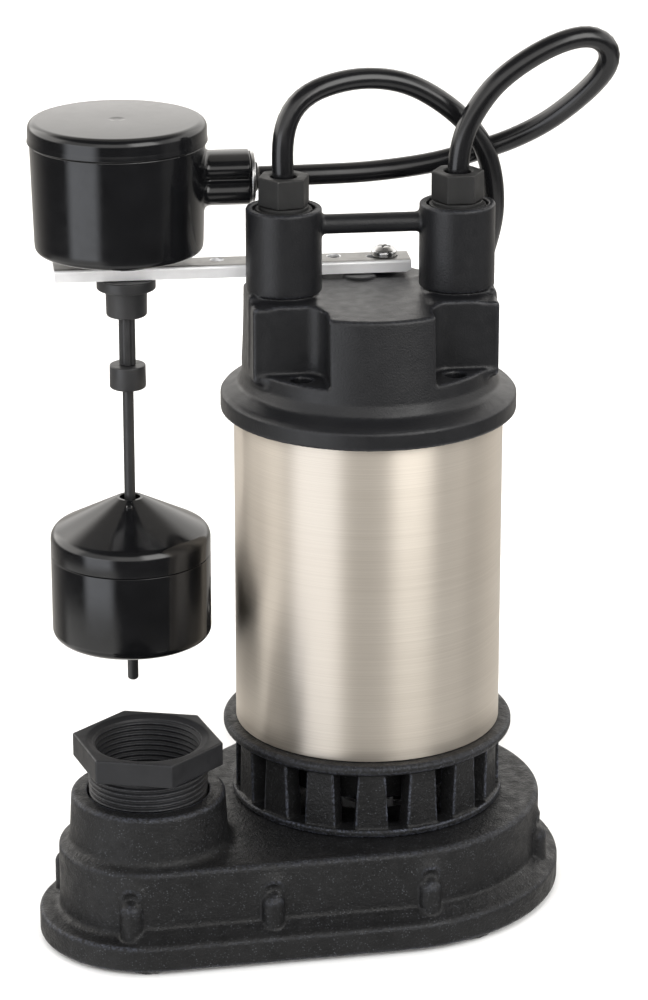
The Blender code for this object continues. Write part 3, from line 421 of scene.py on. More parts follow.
def surface_of(field, low, high, step):
    """Quads on the surface where a distance field is zero, with each vertex moved onto that surface."""
    step *= COARSER
    low = np.array(low, float) - 1.37 * step  # off the round numbers that flat faces stand on
    lines = [low[k] + step * np.arange(int(math.ceil((high[k] - low[k]) / step)) + 2) for k in range(3)]
    shape = tuple(len(line) for line in lines)
    grid = field(lines[0][:, None, None], lines[1][None, :, None], lines[2][None, None, :])
    value = np.broadcast_to(grid, shape).astype(np.float32)
    inside = value < 0
    corner = [inside[a:shape[0] - 1 + a, b:shape[1] - 1 + b, c:shape[2] - 1 + c].astype(np.int8)
              for a in (0, 1) for b in (0, 1) for c in (0, 1)]
    total = sum(corner)
    active = (total > 0) & (total < 8)
    cells = np.argwhere(active)
    index = np.full(active.shape, -1, np.int64)
    index[active] = np.arange(len(cells))
    sums, hits = np.zeros((len(cells), 3)), np.zeros(len(cells))
    for axis in range(3):
        for a in (0, 1):
            for b in (0, 1):
                first = np.zeros(3, int)
                first[(axis + 1) % 3], first[(axis + 2) % 3] = a, b
                second = first.copy()
                second[axis] = 1
                start, end = (value[tuple((cells + offset).T)] for offset in (first, second))
                crossed = (start < 0) != (end < 0)
                point = cells + first.astype(float)
                point[:, axis] += np.where(crossed, start / np.where(crossed, start - end, 1), 0)
                sums += point * crossed[:, None]
                hits += crossed
    points = low + step * sums / hits[:, None]
    nudge = 0.04
    for _ in range(3):
        here = field(*points.T)
        slope = np.stack([field(*(points + nudge * side).T) - field(*(points - nudge * side).T)
                          for side in np.eye(3)], axis=1) / (2 * nudge)
        move = -here[:, None] * slope / np.maximum((slope ** 2).sum(1), 0.2)[:, None]
        far = np.linalg.norm(move, axis=1, keepdims=True)
        points += move * np.minimum(1.0, 0.4 * step / np.maximum(far, 1e-9))
    faces = []
    for axis in range(3):
        u, w = (axis + 1) % 3, (axis + 2) % 3
        near, far = [slice(1, -1)] * 3, [slice(1, -1)] * 3
        near[axis], far[axis] = slice(0, -1), slice(1, None)
        start, end = inside[tuple(near)], inside[tuple(far)]
        spots = np.argwhere(start != end)
        outward = start[tuple(spots.T)]
        spots[:, u] += 1
        spots[:, w] += 1
        ring = []
        for du, dw in ((1, 1), (0, 1), (0, 0), (1, 0)):
            back = spots.copy()
            back[:, u] -= du
            back[:, w] -= dw
            ring.append(index[tuple(back.T)])
        quad = np.stack(ring, axis=1)
        faces.append(np.where(outward[:, None], quad, quad[:, ::-1]))
    return points, np.concatenate(faces)


def grown(name, field, low, high, step, where, material, body, nodes):
    """A cast or moulded piece from its distance field."""
    points, faces = surface_of(field, low, high, step)
    return piece(name, points, faces, where, material, body, nodes)


# ---------------------------------------------------------------- camera and light

def make_camera():
    data = bpy.data.cameras.new("camera")
    data.lens = 136.5
    data.sensor_width = 36.0
    camera = bpy.data.objects.new("camera", data)
    camera.location = (-0.7298, -1.2383, 0.6746)
    camera.rotation_euler = (math.radians(90 - 19.39), 0.0, CAMERA_YAW)
    bpy.context.scene.collection.objects.link(camera)
    bpy.context.scene.camera = camera


def make_world():
    """A studio seen only in reflections, its directions fixed to the object.  Angles run round the object
    from its front, to the right; heights are the sine of the elevation."""
    world = bpy.data.worlds.new("studio")
    bpy.context.scene.world = world
    graph = Graph(world)
    output = graph.tree.nodes["Background"]
    way = graph.node("ShaderNodeTexCoord").outputs["Generated"]
    split = graph.node("ShaderNodeSeparateXYZ")
    graph.join(way, split, 0)
    x, y, z = split.outputs
    sine, cosine = math.sin(CAMERA_YAW), math.cos(CAMERA_YAW)
    to_front = graph.maths("ADD", graph.maths("MULTIPLY", x, sine), graph.maths("MULTIPLY", y, -cosine))
    to_right = graph.maths("ADD", graph.maths("MULTIPLY", x, cosine), graph.maths("MULTIPLY", y, sine))
    around = graph.maths("ARCTAN2", to_right, to_front)

    def window(value, low, high, soft):
        up = graph.span(value, low - soft, low + soft, smooth=True)
        down = graph.span(value, high - soft, high + soft, 1.0, 0.0, smooth=True)
        return graph.maths("MULTIPLY", up, down)

    def degrees(low, high, soft):
        return window(around, math.radians(low), math.radians(high), math.radians(soft))

    def both(first, second, strength):
        return graph.maths("MULTIPLY", graph.maths("MULTIPLY", first, second), strength)

    behind = graph.span(graph.maths("ABSOLUTE", around), math.radians(95), math.radians(150), smooth=True)
    wall_top = window(z, 0.05, 0.66, 0.12)
    lights = [  # strength and colour: the room, the table, the walls, then boxes from left to right, then behind
        (0.08, (1.0, 0.98, 0.95)),
        (graph.span(z, -0.38, -0.62, 0.0, 0.75, smooth=True), (1.0, 0.985, 0.96)),
        (graph.maths("MULTIPLY", wall_top, 1.05), (1.0, 0.985, 0.965)),
        (both(degrees(-66, -24, 7), window(z, -0.36, 0.12, 0.04), 2.3), (0.96, 0.985, 1.04)),
        (both(degrees(-108, -18, 9), window(z, -0.62, -0.36, 0.04), 0.95), (1.0, 0.99, 0.96)),
        (both(degrees(64, 90, 7), window(z, -0.8, 0.5, 0.1), 0.2), (1.0, 0.99, 0.97)),
        (both(degrees(21, 57, 6), window(z, 0.12, 0.75, 0.08), 3.6), (1.0, 0.99, 0.97)),
        (both(degrees(-146, -76, 8), wall_top, 1.6), (1.0, 0.965, 0.92)),
        (both(degrees(-26, 24, 9), wall_top, 0.5), (1.0, 0.975, 0.94)),
        (both(degrees(80, 146, 8), wall_top, 0.5), (1.0, 0.965, 0.92)),
        (graph.maths("MULTIPLY", behind, 0.5), (1.0, 0.95, 0.88)),
    ]
    total = None
    for strength, colour in lights:
        tinted = graph.node("ShaderNodeVectorMath", operation="SCALE")
        tinted.inputs[0].default_value = colour
        graph.join(strength, tinted, "Scale")
        if total is None:
            total = tinted.outputs[0]
            continue
        added = graph.node("ShaderNodeVectorMath", operation="ADD")
        graph.join(total, added, 0)
        graph.join(tinted.outputs[0], added, 1)
        total = added.outputs[0]
    graph.join(total, output, "Color")


def make_light(name, spot, aim, size, watts, colour=(1, 1, 1)):
    data = bpy.data.lights.new(name, "AREA")
    data.shape = "RECTANGLE"
    data.size, data.size_y = size
    data.energy = watts
    data.color = colour
    lamp = bpy.data.objects.new(name, data)
    lamp.location = spot
    lamp.rotation_euler = (Vector(aim) - Vector(spot)).to_track_quat("-Z", "Y").to_euler()
    lamp.visible_glossy = False
    bpy.context.scene.collection.objects.link(lamp)


def make_floor():
    half = 14.0
    mesh = bpy.data.meshes.new("floor")
    mesh.from_pydata([(-half, -half, -0.0004), (half, -half, -0.0004), (half, half, -0.0004),
                      (-half, half, -0.0004)], [], [(0, 1, 2, 3)])
    floor = bpy.data.objects.new("floor", mesh)
    bpy.context.scene.collection.objects.link(floor)
    paint = bpy.data.materials.new("floor_paper")
    graph = Graph(paint)
    shader = graph.tree.nodes["Principled BSDF"]
    shader.inputs["Base Color"].default_value = (0.93, 0.93, 0.93, 1)
    shader.inputs["Roughness"].default_value = 1.0
    shader.inputs["Specular IOR Level"].default_value = 0.0
    mesh.materials.append(paint)
    floor.visible_glossy = False


make_camera()
make_world()
make_floor()
make_light("key", (-1.5, -1.0, 1.7), (0, 0, 0.15), (1.2, 1.2), 26.0, (0.97, 0.985, 1.0))
make_light("fill", (1.7, -1.2, 1.3), (0, 0, 0.15), (1.0, 1.4), 12.0)
make_light("top", (0.3, 0.6, 2.2), (0, 0, 0.1), (2.2, 2.2), 30.0, (1.0, 0.985, 0.96))
bpy.context.scene.view_settings.view_transform = "Standard"


# ---------------------------------------------------------------- cords

POWER_ROUTE = [
    (0.0006, 0.0012, 0.2900), (0.0006, 0.0012, 0.3025), (0.0002, 0.0018, 0.3130), (0.0030, 0.0020, 0.3260),
    (0.0115, 0.0005, 0.3345), (0.0285, -0.0030, 0.3385), (0.0405, -0.0055, 0.3380), (0.0525, -0.0085, 0.3350),
    (0.0645, -0.0120, 0.3275), (0.0740, -0.0155, 0.3190), (0.0825, -0.0165, 0.3080), (0.0865, -0.0170, 0.2955),
    (0.0885, -0.0155, 0.2845), (0.0895, -0.0135, 0.2760), (0.0895, -0.0060, 0.2580), (0.0900, 0.0060, 0.2360),
    (0.0950, 0.0180, 0.2140), (0.0970, 0.0225, 0.1900), (0.0990, 0.0255, 0.1500), (0.1045, 0.0330, 0.1000),
    (0.1130, 0.0465, 0.0640), (0.1205, 0.0605, 0.0450), (0.1280, 0.0690, 0.0370),
]
SWITCH_ROUTE = [
    (0.0633, -0.0273, 0.2900), (0.0633, -0.0273, 0.3025), (0.0640, -0.0274, 0.3100), (0.0665, -0.0280, 0.3195),
    (0.0725, -0.0305, 0.3305), (0.0785, -0.0330, 0.3380), (0.0885, -0.0365, 0.3455), (0.1010, -0.0410, 0.3520),
    (0.1130, -0.0445, 0.3540), (0.1205, -0.0455, 0.3500), (0.1235, -0.0440, 0.3430), (0.1215, -0.0380, 0.3340),
    (0.1170, -0.0295, 0.3245), (0.1090, -0.0200, 0.3145), (0.0985, -0.0110, 0.3070), (0.0885, -0.0050, 0.3030),
    (0.0740, 0.0025, 0.2985), (0.0595, 0.0090, 0.2962), (0.0445, 0.0150, 0.2951), (0.0290, 0.0210, 0.2950),
    (0.0065, 0.0303, 0.2950),
]
TAIL_ROUTE = [(0.1652, 0.1350, 0.0388), (0.1610, 0.1424, 0.0417), (0.1577, 0.1446, 0.0418)]
COIL_X, COIL_Y = 0.1185, 0.1275
# The coil's turns: how far round it is, in turns, with the radius and the height of the cord's middle
COIL_TURNS = [
    (0.03, 53.4, 31.0), (0.08, 52.7, 26.8), (0.143, 52.25, 24.4), (0.3, 52.25, 24.25), (0.92, 52.25, 24.25),
    (1.08, 52.25, 15.15), (1.92, 52.25, 15.15), (2.08, 52.25, 6.05), (2.92, 52.25, 6.05), (3.08, 43.0, 6.05),
    (3.92, 43.0, 6.05), (4.08, 33.75, 6.05), (4.92, 33.75, 6.05), (5.08, 33.75, 15.15), (5.92, 33.75, 15.15),
    (6.08, 43.0, 15.15), (6.42, 43.0, 15.15), (6.62, 43.0, 24.25), (6.95, 43.2, 25.2), (7.05, 44.0, 28.0),
    (7.143, 48.6, 32.9),
]
COIL_START = -73.3
CORD_R = 4.25


def coil_points():
    keys = np.array(COIL_TURNS)
    points = []
    for turn in np.arange(keys[0, 0], keys[-1, 0], 1 / 30):
        k = min(int(np.searchsorted(keys[:, 0], turn, side="right")) - 1, len(keys) - 2)
        share = (turn - keys[k, 0]) / (keys[k + 1, 0] - keys[k, 0])
        share = share * share * (3 - 2 * share)
        radius, height = keys[k, 1:] + (keys[k + 1, 1:] - keys[k, 1:]) * share
        angle = math.radians(COIL_START + 360 * turn)
        points.append((COIL_X + radius * MM * math.cos(angle), COIL_Y + radius * MM * math.sin(angle), height * MM))
    return points


def smooth_route(points, step):
    """Points about a step apart on the Catmull-Rom curve through the route's own points."""
    points = [Vector(point) for point in points]
    padded = [2 * points[0] - points[1], *points, 2 * points[-1] - points[-2]]
    dense = []
    for before, start, end, after in zip(padded, padded[1:], padded[2:], padded[3:]):
        pieces = max(2, int(math.ceil((end - start).length / (step / 4))))
        for i in range(pieces):
            t = i / pieces
            dense.append(0.5 * (2 * start + (end - before) * t
                                + (2 * before - 5 * start + 4 * end - after) * t ** 2
                                + (3 * start - before - 3 * end + after) * t ** 3))
    dense.append(points[-1])
    travelled = np.concatenate([[0], np.cumsum([(b - a).length for a, b in zip(dense, dense[1:])])])
    wanted = np.linspace(0, travelled[-1], int(travelled[-1] / step) + 2)
    dense = np.array(dense)
    return np.stack([np.interp(wanted, travelled, dense[:, k]) for k in range(3)], axis=1)


def settled(points, rounds, held=2):
    """The route with its small kinks eased, its ends left where they are."""
    points = points.copy()
    for _ in range(rounds):
        points[held:-held] += 0.5 * ((points[held - 1:-held - 1] + points[held + 1:len(points) - held + 1]) / 2
                                     - points[held:-held])
    return points


def cable(name, points, body, nodes):
    curve = bpy.data.curves.new(name, "CURVE")
    curve.dimensions = "3D"
    curve.bevel_depth = CORD_R * MM
    curve.bevel_resolution = 6
    curve.use_fill_caps = True
    spline = curve.splines.new("POLY")
    spline.points.add(len(points) - 1)
    spline.points.foreach_set("co", np.hstack([points, np.ones((len(points), 1))]).ravel())
    spline.use_smooth = True
    made = bpy.data.objects.new(name, curve)
    bpy.context.scene.collection.objects.link(made)
    curve.materials.append(CORD)
    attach(made, body)
    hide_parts(*nodes)
    return made


POWER_PATH = settled(smooth_route(POWER_ROUTE + coil_points() + TAIL_ROUTE, 0.0035), 6)
SWITCH_PATH = settled(smooth_route(SWITCH_ROUTE, 0.003), 4)
power_lead = cable("power_lead", POWER_PATH, "pump", ["power_cord", "cord_coil", "cord_tail"])
switch_lead = cable("switch_lead", SWITCH_PATH, "pump", ["switch_cord"])


# ---------------------------------------------------------------- top cap

cap_side = Outline([
    (-8, 254, 0), (46.7, 254, 1.3), (47.0, 251.5, 0), (50.7, 221.0, 3.0), (52.3, 216.4, 3.0), (57.9, 213.9, 1.2),
    (59.3, 212.3, 1.0), (59.3, 205.6, 0.6), (52.4, 205.6, 0), (52.4, 196, 0.3), (47.5, 196, 0.3), (47.5, 205, 0),
    (-8, 205, 0)])


POCKET_ROUND = 8.0


def cap_field(x, y, z):
    across = np.abs(x)
    from_axis = np.hypot(x, y)
    from_tower = np.hypot(across - TOWER_X, y - TOWER_Y)
    shape = cap_side(from_axis, z)
    # Pockets over the through bolts, each with a big upright fillet in its inner corner
    root = block(across - 35.7, y - TOWER_Y, z - 239.0, (13.0, 20.2, 15.2), 1.6)
    shape = smin(shape, root, 4.0)
    in_x, in_y = 20.8 - across + POCKET_ROUND, 25.0 - np.abs(y) + POCKET_ROUND
    corner = np.hypot(np.maximum(in_x, 0), np.maximum(in_y, 0)) + np.minimum(np.maximum(in_x, in_y), 0) - POCKET_ROUND
    shape = smax(shape, -smax(corner, 227.0 - z, 1.6), 1.0)
    # Cable towers on their feet, with an undercut above the deck
    foot = block(across - 39.4, y - TOWER_Y, z - 241.4, (9.9, 10.4, 15.4), 2.4)
    shape = smin(shape, foot, 1.4)
    shape = smin(shape, rod(from_tower, z, 13.3, 230, 262, 0.4), 1.8)
    shape = smin(shape, rod(from_tower, z, 15.0, 256.2, 290.0, 0.9), 0.6)
    bar = np.maximum(np.hypot(y - TOWER_Y, z - 282.5) - 3.9, across - 30.0)
    shape = smin(shape, bar, 1.9)
    shape = smin(shape, rod(np.hypot(x + 1.4, y - 18.0), z, 6.6, 250, 255.0, 0.5), 0.9)
    shape = smin(shape, rod(np.hypot(x - 9.3, y - 24.8), z, 4.9, 250, 258.6, 0.4), 1.0)
    hollow = rod(from_tower, z, 12.3, 287.5, 300, 0.3)
    hollow = np.minimum(hollow, rod(from_tower, z, 5.4, 238, 300, 0.2))
    hollow = np.minimum(hollow, rod(np.hypot(across - 30.4, np.abs(y) - 30.9), z, 4.3, 212, 232, 0.3))
    hollow = np.minimum(hollow, rod(from_axis, z, 15.8, 190, 218.3, 0.2))
    hollow = np.minimum(hollow, rod(from_axis, z, 23.0, 222, 249.5, 0.2))
    return smax(shape, -hollow, 0.7)


grown("cap_casting", cap_field, (-60, -60, 195.4), (60, 60, 290.6), 0.8, "top", CAP, "pump",
      ["top_cap"])


# ---------------------------------------------------------------- glands

def gland(name, where, turn):
    lathe(f"washer_{name}", [(5.2, 290.9, 0.2), (9.9, 290.9, 0.5), (9.9, 289.6, 0), (11.2, 289.6, 0.4),
                             (11.2, 287.8, 0.3), (5.2, 287.8, 0)], where, NUT, "pump",
          [f"gland_washer_{name}"])

    def nut(x, y, z):
        away = np.hypot(x, y)
        shape = slab(hexagon(x, y, 21.0, turn), z, 291.1, 302.6, 0.4)
        shape = smax(shape, (away - 10.0 + (z - 302.6) * 1.6) * 0.53, 0.3)
        bore = np.minimum(rod(away, z, 5.3, 285, 310, 0), (away - 6.2 + (303.0 - z) * 0.9) * 0.74)
        return smax(shape, -bore, 0.35)

    grown(f"nut_{name}", nut, (-10.8, -10.8, 290.8), (10.8, 10.8, 303.0), 0.34, where, NUT, "pump",
          [f"gland_nut_{name}"])


gland("power", "power_tower", math.radians(12))
gland("switch", "switch_tower", 0.0)


# ---------------------------------------------------------------- shell, cage and base

lathe("shell_sheet", [(54.0, 205.2, 0.3), (54.0, 73.1, 0.3), (53.2, 73.1, 0), (53.2, 205.2, 0)], "base", SHELL,
      "pump", ["motor_shell"], around=180, steps=3)

RIB_PHASE = math.radians(-88.6 - 31.1)
PITCH = math.tau / 16
cage_side = Outline([
    (52.4, 81, 0.3), (52.4, 72.9, 0), (58.2, 72.9, 1.0), (59.2, 71.8, 0.8), (59.2, 69.6, 0.8), (56.6, 67.9, 0.8),
    (40, 67.9, 1.5), (38, 50, 1.5), (13.2, 50, 0), (13.2, 58, 0), (8, 58, 0), (8, 62, 0), (17.8, 62, 0),
    (17.8, 74, 0), (47.5, 74, 0), (47.5, 81, 0.3)])


def cage_field(x, y, z):
    away = np.hypot(x, y)
    turn = np.arctan2(y, x) - RIB_PHASE
    off = turn - PITCH * np.round(turn / PITCH)
    half = np.interp(z, (43.0, 73.0), (6.75, 5.3))
    rib = slab(np.maximum(np.abs(away * np.sin(off)) - half, 46.5 - away), away * np.cos(off), 20.0, 54.2, 0.5)
    rib = np.maximum(rib, np.abs(z - 56.0) - 15.0)
    shape = smin(cage_side(away, z), rib, 1.2)
    foot = slab(np.maximum(away - 55.6, 46.8 - away), z, 40.7, 43.5, 0.5)
    return smin(shape, foot, 0.9)


grown("cage_casting", cage_field, (-60, -60, 40.0), (60, 60, 81.4), 0.75, "base", CAST, "pump",
      ["intake_cage"])


def base_outline(x, y, at_motor, at_discharge):
    """The distance to the outline stretched round the motor's and the discharge's circles."""
    lean = (at_motor - at_discharge) / -DISCHARGE_X
    rise = math.sqrt(1 - lean * lean)
    side, along = np.abs(y), -x
    place = -lean * side + rise * along
    return np.where(place < 0, np.hypot(side, along) - at_motor,
                    np.where(place > rise * -DISCHARGE_X, np.hypot(side, along + DISCHARGE_X) - at_discharge,
                             rise * side + lean * along - at_motor))


SCREW_SPOTS = []
for radius, centre, angle in ((WALL_R[0], 0.0, 44.0), (WALL_R[0], 0.0, 101.0), (WALL_R[1], DISCHARGE_X, 130.0)):
    angle = math.radians(angle)
    SCREW_SPOTS.append((centre + radius * math.cos(angle), radius * math.sin(angle), angle))
LEAN = math.asin((WALL_R[0] - WALL_R[1]) / -DISCHARGE_X)
SCREW_SPOTS.append((-74.0, (WALL_R[0] - 74.0 * math.sin(LEAN)) / math.cos(LEAN), math.pi / 2 + LEAN))

ledge_side = Outline([(-6, 8, 0), (6.6, 8, 0), (6.6, 12.4, 0.8), (1.6, 15.6, 1.2), (-6, 16.6, 0)], margin=20.0)


def casing_field(x, y, z):
    away = np.hypot(x, y)
    from_discharge = np.hypot(x - DISCHARGE_X, y)
    flange = slab(base_outline(x, y, *FLANGE_R), z, 1.2, 12.0, 1.5)
    wall_plan = base_outline(x, y, *WALL_R)
    wall = slab(wall_plan, z, 6.0, 40.4, 2.3)
    shape = smin(flange, wall, 3.2)
    ledge = smax(ledge_side(wall_plan, z), DISCHARGE_X - 24.0 - x, 2.0)
    shape = smin(shape, ledge, 2.2)
    # Upright bosses over the cover screws, each with a dimple and a soft brow above it
    side = np.abs(y)
    for spot_x, spot_y, angle in SCREW_SPOTS:
        out = (x - spot_x) * math.cos(angle) + (side - spot_y) * math.sin(angle)
        across = -(x - spot_x) * math.sin(angle) + (side - spot_y) * math.cos(angle)
        brow = np.sqrt(across ** 2 + (out + 4.2) ** 2 + (z - 30.8) ** 2) - 6.4
        shape = smin(shape, brow, 3.0)
        dimple = np.sqrt((across * 0.7) ** 2 + (out - 2.5) ** 2 + (z - 30.2) ** 2) - 2.3
        shape = smax(shape, -dimple, 1.4)
        column = np.maximum(np.sqrt(across ** 2 + (out - 0.1) ** 2 + np.maximum(z - 24.2, 0.0) ** 2) - 4.5, 9.0 - z)
        shape = smin(shape, column, 0.9)
    boss = rod(from_discharge - (61.6 - z) * 0.055, z, 30.8, 30.0, 61.6, 1.7)
    shape = smin(shape, boss, 4.0)
    for spot_x, spot_y in ((5.9, 67.3), (67.6, 0.0), (DISCHARGE_X - 16.25, 28.1)):
        shape = smin(shape, rod(np.hypot(x - spot_x, side - spot_y), z, 10.4, 0.0, 4.0, 0.4), 0.4)
    hollow = slab(base_outline(x, y, FLANGE_R[0] - 4.8, FLANGE_R[1] - 4.8), z, -6.0, 8.9, 0.3)
    hollow = np.minimum(hollow, slab(base_outline(x, y, 55.0, 21.5), z, 4.0, 33.0, 0.5))
    hollow = np.minimum(hollow, rod(away, z, 25.0, 30.0, 50.0, 0.3))
    hollow = np.minimum(hollow, rod(from_discharge, z, 24.4, 43.7, 80.0, 0.3))
    hollow = np.minimum(hollow, rod(from_discharge, z, 21.1, 20.0, 80.0, 0.3))
    return smax(shape, -hollow, 0.5)


grown("casing_casting", casing_field, (-148, -80, -0.4), (80, 80, 62.2), 0.9, "base", CAST, "pump",
      ["volute_casing"])


# ---------------------------------------------------------------- discharge bushing

HEX_TURN = math.radians(-40.4)
THREAD = 25.4 / 11.5


def bushing_field(x, y, z):
    away = np.hypot(x, y)
    turns = z / THREAD - np.arctan2(y, x) / math.tau
    head = slab(hexagon(x, y, 61.2, HEX_TURN), z, 73.6, 83.5, 0.6)
    head = smax(head, (away - 30.3 + (z - 83.5) * 1.2) * 0.64, 0.4)
    male = 22.75 + 1.35 * ramp_wave(turns) - 0.03 * (73.6 - z)
    neck = slab((away - np.where(z > 71.6, 22.9, male)) * 0.8, z, 44.6, 75.0, 0.3)
    shape = smin(head, neck, 0.4)
    female = 21.0 + 1.0 * ramp_wave(turns + 0.4) + 0.02 * (z - 83.5)
    mouth = np.maximum(female, 24.4 - (83.6 - z) * 1.9)
    return smax(shape, -(away - mouth) * 0.8, 0.3)


grown("reducing_bushing", bushing_field, (-31.2, -31.2, 44.0), (31.2, 31.2, 84.0), 0.5, "discharge", BUSHING,
      "pump", ["discharge_bushing"])


# ---------------------------------------------------------------- bracket and its screw

def bracket_field(x, y, z):
    back = y - 24.8
    outer = block(x + 52.2, back, z - 257.4, (71.8, 7.0, 3.1), 0.05)
    outer = smax(outer, np.hypot(np.maximum(np.abs(back) - 5.6, 0), np.maximum(z - 259.1, 0)) - 1.4, 0.1)
    inner = np.maximum(np.abs(back) - 5.4, z - 258.9)
    shape = smax(outer, -inner, 0.3)
    shape = np.maximum(shape, 255.3 - z)
    shape = np.maximum(shape, (x - 19.6 + (256.6 - z) * 1.2) * 0.64)
    slot = np.hypot(np.maximum(np.abs(x - 8.6) - 3.8, 0), back) - 2.6
    for spot in (-58.0, -10.8):
        slot = np.minimum(slot, np.hypot(x - spot, back - 2.0) - 2.7)
    slot = np.minimum(slot, np.hypot(x - SWITCH_X, y - SWITCH_Y) - 5.4)
    return smax(shape, -slot, 0.25)


grown("bracket_channel", bracket_field, (-124.4, 17.6, 255.1), (20.2, 32.0, 260.8), 0.4, "top", CHANNEL, "pump",
      ["float_bracket"])

screw_side = Outline([(-4, 264.7, 0), (2.6, 264.7, 2.2), (5.3, 263.0, 1.6), (5.3, 260.8, 0.2), (2.0, 260.8, 0),
                      (2.0, 246, 0.3), (-4, 246, 0)], margin=5.0, step=0.1)


def screw_field(x, y, z):
    shape = screw_side(np.hypot(x, y), z)
    turned_x, turned_y = spun(x, y, math.radians(25))
    floor_z = 263.1 + 0.25 * np.hypot(x, y)
    cross = np.minimum(np.maximum(np.abs(turned_x) - 0.55, np.abs(turned_y) - 2.7),
                       np.maximum(np.abs(turned_y) - 0.55, np.abs(turned_x) - 2.7))
    return smax(shape, -np.maximum(cross, floor_z - z), 0.15)


grown("pan_screw", screw_field, (-5.6, -5.6, 245.8), (5.6, 5.6, 265.0), 0.22, "screw", ZINC, "pump",
      ["bracket_screw"])


# ---------------------------------------------------------------- float switch

switch_side = Outline([
    (34.9, 311.0, 0.2), (33.8, 271.0, 0), (33.5, 267.0, 3.4), (-4, 267.0, 0), (-4, 270, 0), (31.4, 270, 0),
    (32.1, 311.0, 0)])


def switch_field(x, y, z):
    from_middle = np.hypot(x - HOUSING_X, y)
    shape = switch_side(from_middle, z)
    shape = smin(shape, rod(np.hypot(x, y), z, 12.0, 260.8, 268.0, 0.5), 1.5)
    lift = z - NECK_Z
    upper = np.hypot(y * 0.55, lift - 5.3) - 5.6
    lower = np.hypot(y * 0.66, lift + 4.3) - 6.6
    neck = smin(upper, lower, 1.0)
    neck = smax(neck, x - 49.7, 0.7)
    neck = np.maximum(neck, 27.0 - x)
    shape = smin(shape, neck, 2.4)
    hollow = np.maximum(np.hypot(y, lift) - 5.9, 26.0 - x)
    hollow = np.minimum(hollow, rod(from_middle, z, 31.6, 270.0, 320, 0.1))
    hollow = np.minimum(hollow, rod(np.hypot(x, y), z, 4.2, 250, 275, 0.1))
    return smax(shape, -hollow, 0.2)


grown("switch_housing", switch_field, (-38, -36, 260.4), (50.5, 36, 311.6), 0.6, "switch", GLOSS, "pump",
      ["switch_body"])
lathe("switch_lid", [(0, 319.75, 0), (1.4, 319.75, 0.8), (3.4, 320.0, 1.0), (35.5, 320.0, 3.6), (35.6, 313.4, 0.6),
                     (35.9, 311.2, 0.5), (35.0, 311.2, 0), (31.6, 308.1, 0), (29.2, 308.1, 0), (29.2, 316, 0),
                     (0, 316, 0)], "housing", GLOSS, "pump", ["switch_cover"], around=144, steps=8)
lathe("neck_washer", [(6.2, 51.6, 0.2), (10.5, 51.6, 0.4), (10.5, 50.0, 0.4), (6.2, 50.0, 0.2)], "switch", ZINC,
      "pump", ["neck_ring"], axis="x", centre=(0.0, NECK_Z), around=64)
lathe("neck_bush", [(4.3, 53.0, 0.3), (5.9, 53.0, 0.8), (5.9, 45.0, 0), (4.3, 45.0, 0)], "switch", RUBBER, "pump",
      ["neck_grommet"], axis="x", centre=(0.0, NECK_Z), around=48)
lathe("rod_guide", [(5.1, 260.6, 0), (5.1, 255.0, 0), (11.9, 255.0, 0.4), (11.9, 250.6, 0.6), (8.4, 250.6, 0.3),
                    (8.2, 239.4, 0.9), (3.95, 239.4, 0.3), (3.95, 260.6, 0)], "switch", PLASTIC, "pump",
      ["guide_bushing"], around=72)


# ---------------------------------------------------------------- float and its rod

def fluted_rod():
    """The float rod, with six flutes down its thicker upper part."""
    heights = [82.0, 82.5, 83.0, 100.0, 130.0, 160.0, 190.0, 219.0, 219.01, 230.0, 245.0, 268.6, 271.0]
    sizes = [1.4, 2.0, 2.25, 2.25, 2.25, 2.25, 2.25, 2.25, 3.4, 3.4, 3.4, 3.4, 1.8]
    around = 48
    points, faces = [], []
    for height, size in zip(heights, sizes):
        flute = 0.42 if size > 3 else 0.0
        for i in range(around):
            turn = math.tau * i / around
            radius = size - flute * max(0.0, math.cos(6 * turn)) ** 0.7
            points.append((radius * math.cos(turn), radius * math.sin(turn), height))
    for row in range(len(heights) - 1):
        for i in range(around):
            j = (i + 1) % around
            low, high = row * around, (row + 1) * around
            faces.append((low + i, low + j, high + j, high + i))
    faces.append(tuple(range(around))[::-1])
    faces.append(tuple((len(heights) - 1) * around + i for i in range(around)))
    piece("fluted_rod", points, faces, "switch", PLASTIC, "switch_rod", ["float_rod"], 40)


fluted_rod()
lathe("rod_collar", [(2.6, 218.7, 0), (7.3, 218.7, 0.5), (7.4, 209.0, 0.9), (2.6, 209.0, 0)], "switch", PLASTIC,
      "switch_rod", ["stop_collar"], around=64)
lathe("float_cup", [(32.8, 138.0, 0.25), (32.75, 102.0, 4.2), (6.0, 102.0, 0.5), (6.0, 110, 0), (2.9, 110, 0),
                    (2.9, 112.5, 0), (9, 112.5, 0), (9, 104.5, 0), (30.6, 104.5, 2), (30.6, 138, 0)], "switch",
      GLOSS, "float", ["float_shell"], around=144, steps=8)
lathe("float_top", [(4.2, 162.2, 0.3), (5.6, 162.2, 0.8), (32.8, 147.9, 5.0), (32.8, 138.3, 0.25),
                    (30.6, 138.3, 0), (30.6, 144.6, 3), (7.4, 157.4, 0), (4.2, 157.4, 0)], "switch", GLOSS, "float",
      ["float_cone"], around=144, steps=8)


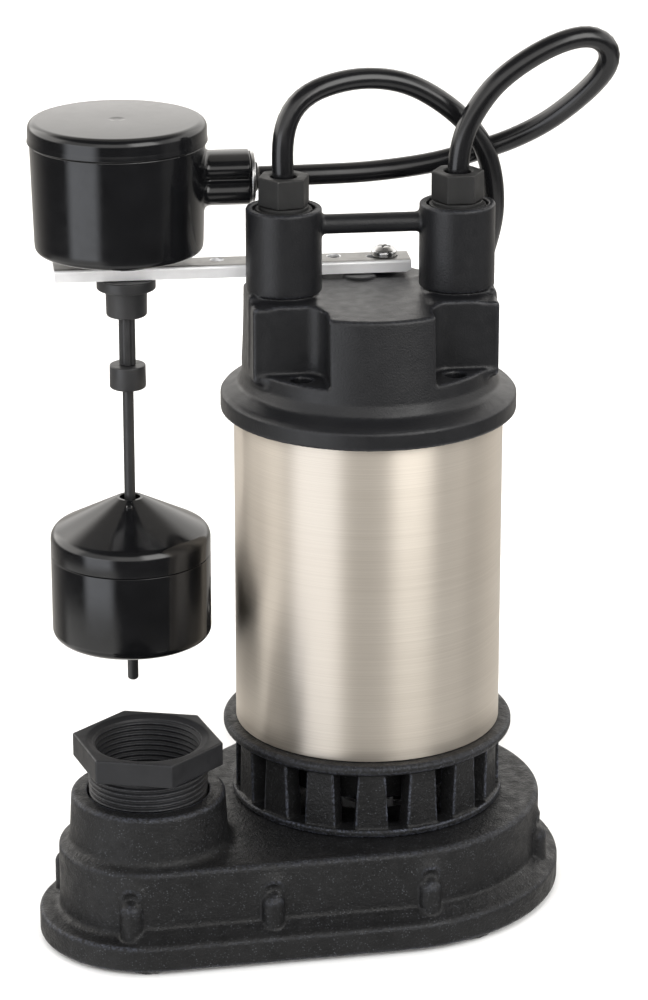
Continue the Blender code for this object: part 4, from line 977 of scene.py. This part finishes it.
def float_nub():
    """The small moulding nub on the cone's front."""
    turn = math.radians(-96)
    spot = (9.6 * math.cos(turn), 9.6 * math.sin(turn), 160.2)

    def nub(x, y, z):
        return block(x - spot[0], y - spot[1], z - spot[2], (1.3, 1.3, 1.1), 0.6)

    grown("float_nub", nub, (spot[0] - 2, spot[1] - 2, 158.6), (spot[0] + 2, spot[1] + 2, 162.2), 0.2, "switch",
          GLOSS, "float", [])


float_nub()


# ---------------------------------------------------------------- plug and coil tie

def plug_field(x, y, z):
    body = block(x, y * (1 - 0.004 * (x + 17)), z, (17.0, 13.0, 13.0), 4.2)
    waist = np.interp(x, (-17, -6, 10, 17), (0.0, 1.2, 1.2, 0.0))
    body = body + waist * 0.6
    grip = np.where(np.abs(x - 2) < 9, 0.35 * np.cos(x * 2.1), 0.0)
    body = body + grip
    away = np.hypot(y, z)
    relief = np.maximum(away - np.interp(x, (12, 34), (7.2, 5.5)), np.abs(x - 23) - 11)
    ribs = 0.55 * np.maximum(0.0, np.cos((x - 12) * math.tau / 3.6))
    return smin(body, relief + ribs, 1.6)


grown("plug_moulding", plug_field, (-17.6, -14, -14), (34.6, 14, 14), 0.6, "plug", RUBBER, "pump",
      ["plug_body"])

tie_outer = Outline([(28.0, 0.4, 1.2), (28.0, 29.9, 1.2), (58.0, 29.9, 1.2), (58.0, 0.4, 1.2)], margin=4.0)
tie_inner = Outline([(29.0, 1.4, 0.8), (29.0, 28.9, 0.8), (57.0, 28.9, 0.8), (57.0, 1.4, 0.8)], margin=4.0)


def tie_field(x, y, z):
    band = np.maximum(tie_outer(x, z), -tie_inner(x, z))
    return smax(band, np.abs(y) - 3.5, 0.4)


grown("coil_tie", tie_field, (27.6, -4, 0.2), (58.4, 4, 30.2), 0.35, "tie", RUBBER, "pump", ["cord_tie"])


# ---------------------------------------------------------------- CAD nodes that stay

KEPT = {
    "cast_iron": CAST, "steel": STEEL, "lamination": LAMINATION, "copper": COPPER, "ceramic": CERAMIC,
    "grey_plastic": GREY, "brass": BRASS, "rubber": RUBBER, "stainless": STEEL, "zinc_plate": ZINC,
    "bushing_plastic": PLASTIC, "switch_plastic": GLOSS, "cap_black": CAP, "cord_pvc": CORD,
}
for part in frame["record"]["subparts"]:
    node = frame["nodes"][part["node"]]
    node.data.materials.clear()
    node.data.materials.append(KEPT[part["material_slot"]])
